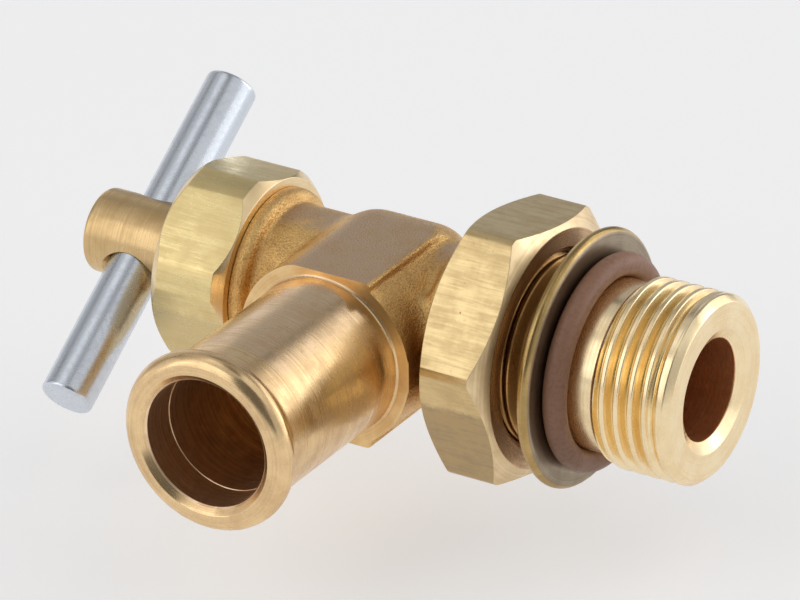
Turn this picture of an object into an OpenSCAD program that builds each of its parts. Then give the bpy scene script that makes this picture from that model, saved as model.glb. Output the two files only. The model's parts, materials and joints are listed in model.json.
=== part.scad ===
// Angle shut-off valve for a heater or coolant hose.
// A forged brass body carries an adjustable threaded stud with a lock nut, a backup washer
// and an O-ring on its right, a beaded hose tail at the front and a screw-down spindle with
// a tommy bar on its left.
// Stations are distances along the valve axis (X) from the axis of the hose tail, positive
// towards the stud. The origin is on the valve axis, in the plane that seats on the port.

/* [Stud] */
// Distance from the axis of the hose tail to the port face
axis_to_port = 26.8; // [25.5:0.1:34]
// Outside diameter of the stud thread
stud_thread_d = 22.2; // [21.6:0.1:24]
// Depth of the stud thread, from crest to root
stud_thread_depth = 1.1; // [0.8:0.05:1.4]
// Length of the smooth groove between the port face and the thread that enters the port
groove_len = 5.4; // [4.6:0.1:8]
// Length of the smooth groove behind the port face, as far as the lock nut's thread
back_relief_len = 3.9; // [3.2:0.1:4.5]
// Length of the thread that enters the port
port_thread_len = 10.3; // [6:0.1:16]
// Length of the chamfers at both ends of the port thread
thread_chamfer = 0.8; // [0.3:0.1:1]
// Diameter of the bore through the stud
stud_bore_d = 12; // [9:0.1:12.6]
// Diameter of the countersink at the stud's mouth
stud_mouth_d = 14.8; // [13.4:0.1:16]
// Depth of the countersink at the stud's mouth
stud_mouth_depth = 0.85; // [0.4:0.05:1.6]

/* [Lock nut] */
// Width across the flats of the lock nut
lock_nut_af = 29.4; // [28.4:0.1:32]
// Diameter to which the corners of the lock nut are turned
lock_nut_corner_d = 33.4; // [33:0.1:36]
// Diameter of the flat faces inside the chamfers of the lock nut
lock_nut_face_d = 28.1; // [26:0.1:28.4]
// Thickness of the lock nut
lock_nut_len = 9.2; // [7:0.1:9.6]
// Gap between the lock nut and the backup washer
lock_nut_gap = 3.8; // [1:0.1:4]
// Angle of the first corner of the lock nut about the valve axis
lock_nut_angle = 51.7; // [0:0.1:60]

/* [Backup washer and O-ring] */
// Outside diameter of the backup washer
washer_d = 30.4; // [26:0.1:34]
// Thickness of the backup washer
washer_t = 1.5; // [1:0.1:2]
// Radius of the backup washer's rounded rim
washer_edge_r = 0.45; // [0.1:0.05:0.5]
// Thickness of the O-ring on the stud
o_ring_t = 2.8; // [2:0.1:3.2]
// Gap between the O-ring and the backup washer
o_ring_gap = 0.15; // [0.05:0.05:0.3]

/* [Body] */
// Diameter of the forged ball round the crossing of the two bores
ball_d = 22; // [21.4:0.1:24]
// Height of the body over its top and bottom flats
flats_h = 20.8; // [19.6:0.1:21.2]
// Diameter of the forged necks on both sides of the ball
neck_d = 17.8; // [17.4:0.1:18.4]
// Distance from the valve axis to the machined face round the hose tail
face_dist = 14.5; // [13.6:0.1:20]
// Radius of the fillets between the forged surfaces
forge_r = 1.4; // [0.6:0.1:1.6]
// Radius of the flare from the right-hand neck to the stud
flare_r = 2.2; // [1.2:0.1:2.4]
// Station at which the stud's full diameter starts
stud_start = 10.7; // [9.9:0.1:11.2]
// Diameter of the collar behind the bonnet nut
collar_d = 21; // [20.2:0.1:22]
// Thickness of the rim of the collar
collar_t = 1.3; // [0.9:0.1:2]

/* [Hose tail] */
// Outside diameter of the hose tail
tail_d = 19.1; // [18.6:0.1:20.4]
// Distance from the valve axis to the mouth of the hose tail
tail_len = 40.2; // [30:0.1:60]
// Diameter over the bead that holds the hose
bead_d = 21.6; // [20.8:0.1:23]
// Radius of the bead's rounded section
bead_r = 1.75; // [1.2:0.05:2.2]
// Diameter of the hose tail's bore
tail_bore_d = 15.4; // [13:0.1:16]
// Width of the chamfer at the mouth
mouth_chamfer = 0.85; // [0.3:0.05:1]
// Diameter of the port between the hose bore and the valve chamber
side_port_d = 9.4; // [7:0.1:9.8]

/* [Valve chamber] */
// Station of the seat
seat_station = 5.4; // [5.2:0.1:6]
// Height of the raised ring of the seat
seat_h = 0.8; // [0.4:0.1:1]
// Width of the raised ring of the seat
seat_w = 0.6; // [0.3:0.05:0.65]
// Diameter of the valve chamber
chamber_d = 15.3; // [15.1:0.1:15.7]
// Length of the valve chamber to the left of the hose axis
chamber_back = 7.6; // [7:0.1:8.4]

/* [Bonnet] */
// Station of the bonnet nut's right-hand face
bonnet_face = -15.5; // [-16.5:0.1:-15]
// Gap between the bonnet nut and the collar
bonnet_gap = 0.2; // [0.1:0.05:0.4]
// Width across the flats of the bonnet nut
bonnet_af = 23; // [22.6:0.1:26]
// Diameter to which the corners of the bonnet nut are turned
bonnet_corner_d = 24.8; // [24.4:0.1:28]
// Diameter of the flat faces inside the chamfers of the bonnet nut
bonnet_face_d = 22.8; // [21.8:0.1:23]
// Length of the chamfers of the bonnet nut
bonnet_chamfer = 1.2; // [0.4:0.1:1.6]
// Length of the bonnet nut
bonnet_len = 9.8; // [9.4:0.1:12]
// Thickness of the bonnet nut's end wall
bonnet_wall = 2.5; // [2:0.1:3]
// Outside diameter of the thread that carries the bonnet nut
spigot_d = 19; // [18.4:0.1:19.6]
// Length of the thread that carries the bonnet nut
spigot_len = 5.7; // [5:0.1:5.9]

/* [Gland] */
// Diameter of the packing chamber
gland_d = 14; // [13.4:0.1:15]
// Depth of the packing chamber
gland_depth = 4.4; // [3.8:0.1:4.6]
// Thickness of the washer at the bottom of the packing chamber
gland_washer_t = 0.7; // [0.5:0.1:1]
// Thickness of the follower's flange
follower_flange_t = 0.9; // [0.7:0.1:1]
// Length of the follower's nose inside the packing chamber
follower_nose = 0.9; // [0.5:0.1:1.2]
// Number of packing rings
packing_count = 2; // [1, 2]

/* [Spindle] */
// Diameter of the spindle's rod
rod_d = 10; // [9:0.1:10.4]
// Length of the rod beyond the bonnet nut
rod_reach = 13.7; // [12:0.1:20]
// Diameter of the spindle's thread
spindle_thread_d = 12; // [11.6:0.1:12.6]
// Length of the spindle's thread
spindle_thread_len = 9; // [6:0.1:9.2]
// Length of the spindle's nose beyond its thread
nose_len = 2.9; // [2.8:0.1:3.4]
// Radius of the rounded edge at the spindle's outer end
rod_edge_r = 0.5; // [0.2:0.1:0.8]

/* [Tommy bar] */
// Diameter of the tommy bar
bar_d = 6.3; // [5:0.1:6.6]
// Length of the tommy bar
bar_len = 44.5; // [36:0.5:70]
// Distance from the spindle's outer end to the middle of the tommy bar
bar_inset = 6.2; // [5:0.1:7]
// Angle of the tommy bar from the horizontal
bar_angle = 34.4; // [0:0.1:90]
// Length of the tommy bar's end chamfers
bar_chamfer = 0.45; // [0.2:0.05:0.8]

/* [Disc and holder] */
// Distance that the disc stands off the seat
disc_lift = 2; // [1:0.1:2.2]
// Thickness of the seat disc
disc_t = 2.5; // [2:0.1:2.8]
// Depth of the holder's cup round the seat disc
cup_depth = 1.1; // [0.6:0.1:1.6]
// Thickness of the rim of the holder's cup
cup_rim = 0.4; // [0.3:0.05:0.6]
// Thickness of the holder's plate behind the seat disc
plate_t = 1.5; // [1.2:0.1:1.8]
// Diameter of the holder's swivel neck
swivel_neck_d = 5; // [4.4:0.1:5.4]
// Diameter of the holder's swivel head
swivel_head_d = 6.8; // [6.2:0.1:7]
// Thickness of the holder's swivel head
swivel_head_t = 1.5; // [1.2:0.1:1.7]
// Thickness of the spindle's lip that holds the swivel head
lip_t = 0.9; // [0.7:0.1:1.1]
// Diameter of the disc screw's shank
screw_d = 3; // [2.4:0.1:3.2]
// Diameter of the disc screw's head
screw_head_d = 5.4; // [4.6:0.1:6]
// Thickness of the disc screw's head
screw_head_t = 1.3; // [1:0.1:1.4]
// Width of the slot in the disc screw's head
screw_slot_w = 0.8; // [0.6:0.1:1.2]

/* [Clearances] */
// Radial clearance of a nut on its thread
thread_fit = 0.05; // [0.02:0.01:0.08]
// Radial clearance of a shaft in its hole
shaft_fit = 0.05; // [0.03:0.01:0.09]
// Radial clearance between pieces that are stacked in one chamber
stack_fit = 0.05; // [0.03:0.01:0.09]
// Radial clearance between the disc holder and the chamber
chamber_gap = 0.35; // [0.3:0.05:0.4]
// Axial play of the swivel between the holder and the spindle
swivel_play = 0.25; // [0.15:0.05:0.3]

/* [Hidden] */
$fn = 72;
overlap = 0.01;

stud_r = stud_thread_d / 2;
groove_r = stud_r - stud_thread_depth;
ball_r = ball_d / 2;
neck_r = neck_d / 2;
collar_r = collar_d / 2;
tail_r = tail_d / 2;
spigot_r = spigot_d / 2;
chamber_r = chamber_d / 2;
rod_r = rod_d / 2;

// Stations on the stud
groove_end = axis_to_port + groove_len;
stud_end = groove_end + port_thread_len;
nut_thread_end = axis_to_port - back_relief_len;
washer_back = axis_to_port - washer_t;
lock_nut_front = washer_back - lock_nut_gap;
lock_nut_back = lock_nut_front - lock_nut_len;
o_ring_station = axis_to_port + o_ring_gap + o_ring_t / 2;

// Stations in the bonnet
collar_face = bonnet_face + bonnet_gap;
spigot_end = bonnet_face - spigot_len;
bonnet_end = bonnet_face - bonnet_len;
bonnet_floor = bonnet_end + bonnet_wall;
gland_floor = spigot_end + gland_depth;
gland_washer_face = gland_floor - gland_washer_t;
follower_tip = spigot_end + follower_nose;
packing_len = gland_washer_face - follower_tip - stack_fit;

// Stations of the disc, its holder and the spindle
seat_floor = seat_station + seat_h;
disc_face = seat_station - disc_lift;
disc_back = disc_face - disc_t;
plate_back = disc_back - plate_t;
nose_end = plate_back - swivel_play;
head_front = nose_end - lip_t - swivel_play;
head_back = head_front - swivel_head_t;
spindle_thread_end = nose_end - nose_len;
spindle_thread_start = spindle_thread_end - spindle_thread_len;
rod_end = bonnet_end - rod_reach;
bar_station = rod_end + bar_inset;
disc_r = chamber_r - chamber_gap - cup_rim;

// Puts the crossing of the two axes at its distance behind the port face.
module placed() {
    translate([-axis_to_port, 0, 0]) children();
}

// Turns shapes so that their height runs along the valve axis.
module along_valve() {
    rotate([90, 0, 90]) children();
}

// Turns shapes so that their height runs out along the hose tail.
module along_tail() {
    rotate([90, 0, 0]) children();
}

// A round solid about the valve axis, from a section of radius against station.
module turned() {
    along_valve() rotate_extrude() children();
}

// A plain ring section between two radii and two stations.
module ring_section(inner, outer, from, to) {
    translate([inner, from]) square([outer - inner, to - from]);
}

// The concave corner between a shoulder that faces up the stations and a shaft.
module fillet_section(radius, station, size) {
    translate([radius, station]) difference() {
        translate([-overlap, -overlap]) square(size + overlap);
        translate([size, size]) circle(size);
    }
}

// The concave corner between the ball and a neck, let a little into the ball.
module ball_fillet_section() {
    bite = 0.06;
    root = 0.4;
    along = sqrt(pow(ball_r + forge_r - bite, 2) - pow(neck_r + forge_r, 2));
    share = (ball_r - root) / (ball_r + forge_r);
    difference() {
        polygon([[neck_r - forge_r, along], [neck_r, along],
                 [(neck_r + forge_r) * share, along * share],
                 [neck_r - forge_r, along * share]]);
        translate([neck_r + forge_r, along]) circle(forge_r);
    }
}

// A hexagon bar with its corners turned down and both ends chamfered.
module hex_blank(af, corner_d, face_d, chamfer, len, corner_angle) {
    along_valve() intersection() {
        rotate([0, 0, corner_angle]) linear_extrude(len) circle(d = af / cos(30), $fn = 6);
        rotate_extrude() polygon([[0, 0], [face_d / 2, 0], [corner_d / 2, chamfer],
                                  [corner_d / 2, len - chamfer], [face_d / 2, len], [0, len]]);
    }
}

// Section of the body's turned and forged outside about the valve axis.
module body_axis_section() {
    collar_back = collar_face + collar_t;
    union() {
        ring_section(0, neck_r, collar_face + overlap, stud_start - flare_r + overlap);
        // Collar with a rounded rim and a fillet down to the neck
        ring_section(0, collar_r, collar_face, collar_back - forge_r / 2);
        ring_section(0, collar_r - forge_r / 2, collar_face, collar_back);
        translate([collar_r - forge_r / 2, collar_back - forge_r / 2]) circle(forge_r / 2);
        fillet_section(neck_r, collar_back, min(forge_r, collar_r - forge_r / 2 - neck_r));
        ball_fillet_section();
        mirror([0, 1]) ball_fillet_section();
        // Flare up to the stud
        difference() {
            ring_section(0, stud_r, stud_start - flare_r, stud_start);
            translate([neck_r + flare_r, stud_start - flare_r]) circle(flare_r);
        }
        // Thread for the lock nut
        polygon([[0, stud_start - overlap], [stud_r, stud_start - overlap],
                 [stud_r, nut_thread_end - stud_thread_depth], [groove_r, nut_thread_end],
                 [0, nut_thread_end]]);
        ring_section(0, groove_r, nut_thread_end - overlap, groove_end + overlap);
        // Thread that enters the port
        polygon([[0, groove_end], [groove_r, groove_end],
                 [stud_r, groove_end + thread_chamfer], [stud_r, stud_end - thread_chamfer],
                 [stud_r - thread_chamfer, stud_end], [0, stud_end]]);
        // Thread for the bonnet nut
        polygon([[0, collar_face + overlap], [spigot_r, collar_face + overlap],
                 [spigot_r, spigot_end + thread_chamfer], [spigot_r - thread_chamfer, spigot_end],
                 [0, spigot_end]]);
    }
}

// Section of the hose tail's outside, with height measured out from the valve axis.
module tail_section() {
    bead_axis = bead_d / 2 - bead_r;
    bead_height = tail_len - bead_r;
    blend = 0.6 * bead_r;
    step = bead_r + blend;
    rise = tail_r + blend - bead_axis;
    blend_height = bead_height - sqrt(step * step - rise * rise);
    union() {
        ring_section(0, tail_r, 0, bead_height);
        ring_section(0, bead_axis, bead_height, tail_len);
        translate([bead_axis, bead_height]) circle(bead_r);
        // Turned corner between the machined face and the tail
        fillet_section(tail_r, face_dist, 0.3 * forge_r);
        // Hollow behind the bead
        difference() {
            polygon([[bead_axis, bead_height], [tail_r - overlap, blend_height],
                     [tail_r, blend_height], [tail_r + blend, blend_height]]);
            translate([tail_r + blend, blend_height]) circle(blend);
        }
    }
}

// Half section of the ball, carried forward as a round bar to the machined face.
module ball_section() {
    intersection() {
        circle(ball_r);
        translate([0, -ball_r]) square([ball_r, ball_r + overlap]);
    }
    square([ball_r, face_dist]);
}

// Section across the valve axis that cuts the top and bottom flats and keeps the round back.
module flats_section() {
    circle(d = flats_h);
    translate([-face_dist - 1, -flats_h / 2]) square([face_dist + 1, flats_h]);
}

// Forged block round the crossing: a ball at the back, flattened at the top and the bottom.
module forged_block() {
    intersection() {
        along_tail() rotate_extrude() ball_section();
        along_valve() translate([0, 0, -ball_r]) linear_extrude(ball_d) flats_section();
    }
}

// Section of everything that is bored out about the valve axis.
module valve_bore_section() {
    bore_r = stud_bore_d / 2;
    thread_r = spindle_thread_d / 2 + thread_fit;
    union() {
        ring_section(0, bore_r, 0, stud_end + 1);
        polygon([[0, stud_end - stud_mouth_depth], [bore_r, stud_end - stud_mouth_depth],
                 [stud_mouth_d / 2, stud_end], [stud_mouth_d / 2, stud_end + 1],
                 [0, stud_end + 1]]);
        ring_section(0, chamber_r, -chamber_back, seat_station);
        ring_section(bore_r + seat_w, chamber_r, seat_station - overlap, seat_floor);
        ring_section(0, thread_r, gland_floor - 1, -chamber_back + overlap);
        ring_section(0, gland_d / 2, spigot_end - 1, gland_floor);
    }
}

// Section of the hose tail's bore, down to the smaller port into the valve chamber.
module tail_bore_section() {
    bore_r = tail_bore_d / 2;
    port_r = side_port_d / 2;
    floor_height = chamber_r + 0.6 * forge_r;
    union() {
        ring_section(0, port_r, 0, floor_height + overlap);
        polygon([[0, floor_height], [port_r, floor_height],
                 [bore_r, floor_height + bore_r - port_r], [bore_r, tail_len - mouth_chamfer],
                 [bore_r + mouth_chamfer, tail_len], [bore_r + mouth_chamfer, tail_len + 1],
                 [0, tail_len + 1]]);
    }
}

// Forged and machined body in one piece.
module valve_body() {
    color("#c19a55") placed() difference() {
        union() {
            forged_block();
            turned() body_axis_section();
            along_tail() rotate_extrude() tail_section();
        }
        turned() valve_bore_section();
        along_tail() rotate_extrude() tail_bore_section();
    }
}

// Nut that holds the gland, closed at its outer end round the spindle.
module bonnet_nut() {
    inner_r = spigot_r + thread_fit;
    mouth_r = inner_r + 0.4;
    hole_r = rod_r + shaft_fit;
    color("#d3b667") placed() difference() {
        translate([bonnet_end, 0, 0])
            hex_blank(bonnet_af, bonnet_corner_d, bonnet_face_d, bonnet_chamfer, bonnet_len, 45.5);
        turned() union() {
            ring_section(0, hole_r, bonnet_end - 1, bonnet_floor + 1);
            polygon([[0, bonnet_floor], [inner_r, bonnet_floor], [inner_r, bonnet_face - 0.4],
                     [mouth_r, bonnet_face], [mouth_r, bonnet_face + 1], [0, bonnet_face + 1]]);
        }
    }
}

// Flanged ring that presses the packing down.
module gland_follower() {
    flange_r = spigot_r - 1.2;
    flange_end = bonnet_floor + stack_fit;
    hole_r = rod_r + shaft_fit;
    color("#c9a75e") placed() turned() union() {
        ring_section(hole_r, flange_r, flange_end, flange_end + follower_flange_t);
        ring_section(hole_r, gland_d / 2 - stack_fit, flange_end, follower_tip);
    }
}

// One ring of the spindle's packing, counted from the bottom of its chamber.
module packing_ring(index) {
    pitch = packing_len / packing_count;
    top = gland_washer_face - stack_fit - index * pitch;
    color("#3b3a38") placed() turned() difference() {
        ring_section(rod_r + shaft_fit, gland_d / 2 - stack_fit, top - pitch + stack_fit, top);
    }
}

// Plain washer at the bottom of the packing chamber.
module gland_washer() {
    color("#c9a75e") placed() turned()
        ring_section(rod_r + shaft_fit, gland_d / 2 - stack_fit,
                     gland_washer_face, gland_floor - overlap);
}

// Screwed spindle with a cross hole for the bar and a lip that holds the disc holder.
module spindle() {
    pocket_r = swivel_head_d / 2 + chamber_gap;
    neck_hole_r = swivel_neck_d / 2 + shaft_fit;
    nose_r = rod_r + 0.2;
    thread_r = spindle_thread_d / 2;
    color("#cda868") placed() difference() {
        turned() difference() {
            union() {
                ring_section(0, rod_r, rod_end + rod_edge_r, spindle_thread_start + overlap);
                ring_section(0, rod_r - rod_edge_r, rod_end, rod_end + rod_edge_r);
                intersection() {
                    translate([rod_r - rod_edge_r, rod_end + rod_edge_r]) circle(rod_edge_r);
                    ring_section(0, rod_r, rod_end, rod_end + rod_edge_r + overlap);
                }
                polygon([[0, spindle_thread_start], [rod_r, spindle_thread_start],
                         [thread_r, spindle_thread_start + thread_r - rod_r],
                         [thread_r, spindle_thread_end - thread_r + nose_r],
                         [nose_r, spindle_thread_end], [nose_r, nose_end], [0, nose_end]]);
            }
            ring_section(0, neck_hole_r, nose_end - lip_t - overlap, nose_end + 1);
            ring_section(0, pocket_r, head_back - swivel_play, nose_end - lip_t);
        }
        translate([bar_station, 0, 0]) rotate([bar_angle, 0, 0]) bar_hole();
    }
}

// Cross hole with both its mouths eased.
module bar_hole() {
    hole_r = bar_d / 2 + shaft_fit;
    rotate([90, 0, 0]) union() {
        cylinder(h = rod_d * 2, r = hole_r, center = true);
        for (side = [0, 180])
            rotate([side, 0, 0]) translate([0, 0, rod_r - 1.6])
                cylinder(h = 1.9, r1 = hole_r, r2 = hole_r + 0.5);
    }
}

// Round bar through the spindle's outer end.
module tommy_bar() {
    bar_r = bar_d / 2;
    half = bar_len / 2;
    color("#c3c7cc") placed() translate([bar_station, 0, 0]) rotate([bar_angle + 90, 0, 0])
        rotate_extrude() polygon([[0, -half], [bar_r - bar_chamfer, -half],
                                  [bar_r, -half + bar_chamfer], [bar_r, half - bar_chamfer],
                                  [bar_r - bar_chamfer, half], [0, half]]);
}

// Cup that carries the seat disc and swivels in the spindle's nose.
module disc_holder() {
    plate_r = chamber_r - chamber_gap;
    screw_r = screw_d / 2 + stack_fit;
    color("#c9a75e") placed() turned() difference() {
        union() {
            ring_section(0, plate_r, plate_back, disc_back + cup_depth);
            ring_section(0, swivel_neck_d / 2, head_front - overlap, plate_back + overlap);
            ring_section(0, swivel_head_d / 2, head_back, head_front);
        }
        ring_section(0, disc_r, disc_back, disc_face + 1);
        ring_section(0, screw_r, head_back + 0.5, disc_face);
    }
}

// Rubber disc that closes on the seat.
module seat_disc() {
    color("#26262a") placed() turned()
        ring_section(screw_d / 2 + stack_fit, disc_r - stack_fit, disc_back + overlap, disc_face);
}

// Slotted screw that holds the seat disc in its cup.
module disc_screw() {
    head_r = screw_head_d / 2;
    color("#d3b667") placed() difference() {
        turned() union() {
            ring_section(0, head_r, disc_face + overlap, disc_face + screw_head_t);
            ring_section(0, screw_d / 2, head_back + 0.5 + 2 * stack_fit,
                         disc_face + 2 * overlap);
        }
        translate([disc_face + screw_head_t / 2, -head_r - 1, -screw_slot_w / 2])
            cube([screw_head_t, screw_head_d + 2, screw_slot_w]);
    }
}

// Nut that locks the stud in its port once the valve points the right way.
module lock_nut() {
    bore_r = stud_r + thread_fit;
    sink = 0.7;
    chamfer = (lock_nut_corner_d - lock_nut_face_d) / 2 * tan(30);
    color("#b39a5b") placed() difference() {
        translate([lock_nut_back, 0, 0])
            hex_blank(lock_nut_af, lock_nut_corner_d, lock_nut_face_d, chamfer,
                      lock_nut_len, lock_nut_angle);
        turned() polygon([[0, lock_nut_back - 1], [bore_r + sink, lock_nut_back - 1],
                          [bore_r + sink, lock_nut_back], [bore_r, lock_nut_back + sink],
                          [bore_r, lock_nut_front - sink], [bore_r + sink, lock_nut_front],
                          [bore_r + sink, lock_nut_front + 1], [0, lock_nut_front + 1]]);
    }
}

// Flat washer that backs the O-ring.
module backup_washer() {
    outer = washer_d / 2;
    edge = washer_edge_r;
    color("#7d7355") placed() turned() union() {
        ring_section(groove_r + stack_fit, outer - edge, washer_back, axis_to_port);
        ring_section(groove_r + stack_fit, outer, washer_back + edge, axis_to_port - edge);
        for (station = [washer_back + edge, axis_to_port - edge])
            translate([outer - edge, station]) circle(edge);
    }
}

// O-ring that seals the stud in its port.
module stud_o_ring() {
    color("#8d5f4c") placed() turned()
        translate([groove_r + stack_fit + o_ring_t / 2, o_ring_station]) circle(d = o_ring_t);
}

valve_body();
bonnet_nut();
gland_follower();
packing_ring(0);  // packing_ring_1
packing_ring(1);  // packing_ring_2
gland_washer();
spindle();
tommy_bar();
disc_holder();
seat_disc();
disc_screw();
lock_nut();
backup_washer();
stud_o_ring();
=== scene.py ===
"""Dresses the angle shut-off valve and lights it for a studio picture.

The valve is built from its sub-assemblies: the forged body with its hose tail and threaded
stud, the bonnet nut, the screwed spindle with its tommy bar, the disc that closes the seat, and
the lock nut, washer and O-ring that seal the stud in its port. Lengths are in millimetres along
the valve's axis (X), counted from the axis of the hose tail, and are scaled to metres when a
mesh is made.
"""

import json
import logging
import math
from collections.abc import Callable, Mapping, Sequence
from dataclasses import dataclass, field
from enum import Enum

import bmesh
import bpy
import numpy as np
from mathutils import Matrix, Vector

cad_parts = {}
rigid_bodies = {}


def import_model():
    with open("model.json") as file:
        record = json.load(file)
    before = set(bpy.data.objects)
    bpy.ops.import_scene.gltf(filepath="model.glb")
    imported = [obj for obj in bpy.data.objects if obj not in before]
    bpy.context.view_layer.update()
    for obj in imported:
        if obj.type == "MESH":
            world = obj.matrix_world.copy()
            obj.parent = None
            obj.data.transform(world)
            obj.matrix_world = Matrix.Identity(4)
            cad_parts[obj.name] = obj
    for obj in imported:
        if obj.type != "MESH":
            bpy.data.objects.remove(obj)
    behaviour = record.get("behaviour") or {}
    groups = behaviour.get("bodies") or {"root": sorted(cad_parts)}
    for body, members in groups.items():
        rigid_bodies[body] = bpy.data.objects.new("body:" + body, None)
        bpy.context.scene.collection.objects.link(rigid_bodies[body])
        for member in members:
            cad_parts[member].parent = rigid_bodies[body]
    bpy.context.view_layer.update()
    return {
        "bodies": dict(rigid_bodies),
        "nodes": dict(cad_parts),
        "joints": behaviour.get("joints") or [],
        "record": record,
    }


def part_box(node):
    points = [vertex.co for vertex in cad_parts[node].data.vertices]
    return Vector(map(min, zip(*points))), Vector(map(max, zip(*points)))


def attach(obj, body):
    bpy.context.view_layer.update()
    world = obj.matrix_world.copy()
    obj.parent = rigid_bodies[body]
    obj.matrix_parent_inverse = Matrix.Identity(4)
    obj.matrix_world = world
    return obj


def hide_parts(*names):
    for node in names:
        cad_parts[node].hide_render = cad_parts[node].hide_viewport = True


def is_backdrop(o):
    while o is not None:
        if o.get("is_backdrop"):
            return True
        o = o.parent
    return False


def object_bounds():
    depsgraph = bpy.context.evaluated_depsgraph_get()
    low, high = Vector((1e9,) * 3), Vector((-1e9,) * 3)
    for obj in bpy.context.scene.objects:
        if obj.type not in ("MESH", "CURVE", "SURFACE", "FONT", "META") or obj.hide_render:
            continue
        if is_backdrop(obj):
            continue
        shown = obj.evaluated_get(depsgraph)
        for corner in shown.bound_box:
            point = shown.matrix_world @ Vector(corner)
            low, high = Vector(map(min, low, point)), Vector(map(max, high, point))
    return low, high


LOG = logging.getLogger("valve")
MM = 0.001

Colour = tuple[float, float, float]
Corner = tuple[float, float, float]


class Body(Enum):
    """The rigid bodies that pieces ride on."""

    VALVE = "valve"
    DISC = "disc"
    SPINDLE = "spindle"
    LOCK_NUT = "lock_nut"
    WASHER = "washer"


class Relief(Enum):
    """How a surface was made, which sets the marks that its finish carries."""

    FORGED = "forged"
    TURNED = "turned"
    DRAWN = "drawn"
    PLATED = "plated"
    MOULDED = "moulded"


# Node trees


@dataclass
class Graph:
    """Adds and links nodes in one node tree."""

    tree: bpy.types.NodeTree

    def add(
        self, kind: str, inputs: Mapping[str | int, object] | None = None, **settings: object
    ) -> bpy.types.Node:
        """Adds a node, sets its properties, and fills or links its inputs.

        Args:
            kind: The node's type name.
            inputs: Values or output sockets by input name, identifier or index.
            **settings: Properties of the node.

        Returns:
            The new node.
        """
        node = self.tree.nodes.new(kind)
        for name, value in settings.items():
            setattr(node, name, value)
        for key, value in (inputs or {}).items():
            self.feed(self.socket(node, key), value)
        return node

    def socket(self, node: bpy.types.Node, key: str | int) -> bpy.types.NodeSocket:
        """Finds an input by index, identifier or name, in that order."""
        if isinstance(key, int):
            return node.inputs[key]
        for socket in node.inputs:
            if socket.identifier == key:
                return socket
        return node.inputs[key]

    def feed(self, socket: bpy.types.NodeSocket, value: object) -> None:
        """Links an output socket to an input, or sets the input's own value."""
        if isinstance(value, bpy.types.NodeSocket):
            self.tree.links.new(value, socket)
        else:
            socket.default_value = value

    def math(self, operation: str, *values: object, clamp: bool = False) -> bpy.types.NodeSocket:
        """Adds a Math node and returns its output."""
        kind = "ShaderNodeMath"
        node = self.add(kind, dict(enumerate(values)), operation=operation, use_clamp=clamp)
        return node.outputs[0]

    def vector(self, operation: str, *values: object) -> bpy.types.NodeSocket:
        """Adds a Vector Math node and returns its first live output."""
        node = self.add("ShaderNodeVectorMath", operation=operation)
        for index, value in enumerate(values):
            key = "Scale" if operation == "SCALE" and index == 1 else index
            self.feed(self.socket(node, key), value)
        return next(output for output in node.outputs if output.enabled)

    def ramp(
        self, value: object, low: float, high: float, start: float = 0.0, end: float = 1.0
    ) -> bpy.types.NodeSocket:
        """Maps a value smoothly from low..high to start..end and returns the output."""
        inputs = {0: value, 1: low, 2: high, 3: start, 4: end}
        node = self.add("ShaderNodeMapRange", inputs, interpolation_type="SMOOTHSTEP")
        return node.outputs[0]

    def mix(self, factor: object, first: object, second: object) -> bpy.types.NodeSocket:
        """Mixes two colours and returns the result."""
        inputs = {
            "Factor_Float": factor,
            "A_Color": rgba(first) if isinstance(first, tuple) else first,
            "B_Color": rgba(second) if isinstance(second, tuple) else second,
        }
        node = self.add("ShaderNodeMix", inputs, data_type="RGBA", clamp_factor=True)
        return next(output for output in node.outputs if output.type == "RGBA")

    def noise(
        self, place: object, scale: float, detail: float = 2.0, rough: float = 0.5
    ) -> bpy.types.NodeSocket:
        """Adds a Noise Texture and returns its factor."""
        inputs = {"Vector": place, "Scale": scale, "Detail": detail, "Roughness": rough}
        return self.add("ShaderNodeTexNoise", inputs).outputs[0]

    def blend(self, *parts: tuple[bpy.types.NodeSocket, float]) -> bpy.types.NodeSocket:
        """Adds up values, each times its own weight, and returns the sum."""
        total: object = 0.0
        for value, weight in parts:
            total = self.add(
                "ShaderNodeMath", {0: value, 1: weight, 2: total}, operation="MULTIPLY_ADD"
            ).outputs[0]
        return total

    def spread(self, place: object, stretch: tuple[float, float, float]) -> bpy.types.NodeSocket:
        """Multiplies a place by three factors, to stretch a pattern."""
        return self.vector("MULTIPLY", place, stretch)


def rgba(colour: Colour) -> tuple[float, float, float, float]:
    """Adds full alpha to a colour."""
    return (*colour, 1.0)


def new_group(
    name: str, kind: str, sockets: Sequence[tuple[str, str, str, float | None]]
) -> tuple[Graph, bpy.types.Node, bpy.types.Node]:
    """Makes a node group with its interface.

    Args:
        name: The group's name.
        kind: The tree's type name.
        sockets: One (name, direction, socket kind, default) for each socket.

    Returns:
        The group's graph, its input node and its output node.
    """
    tree = bpy.data.node_groups.new(name, kind)
    for label, direction, socket_kind, default in sockets:
        socket = tree.interface.new_socket(
            name=label, in_out=direction, socket_type=f"NodeSocket{socket_kind}"
        )
        if default is not None:
            socket.default_value = default
    graph = Graph(tree)
    return graph, graph.add("NodeGroupInput"), graph.add("NodeGroupOutput")


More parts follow.
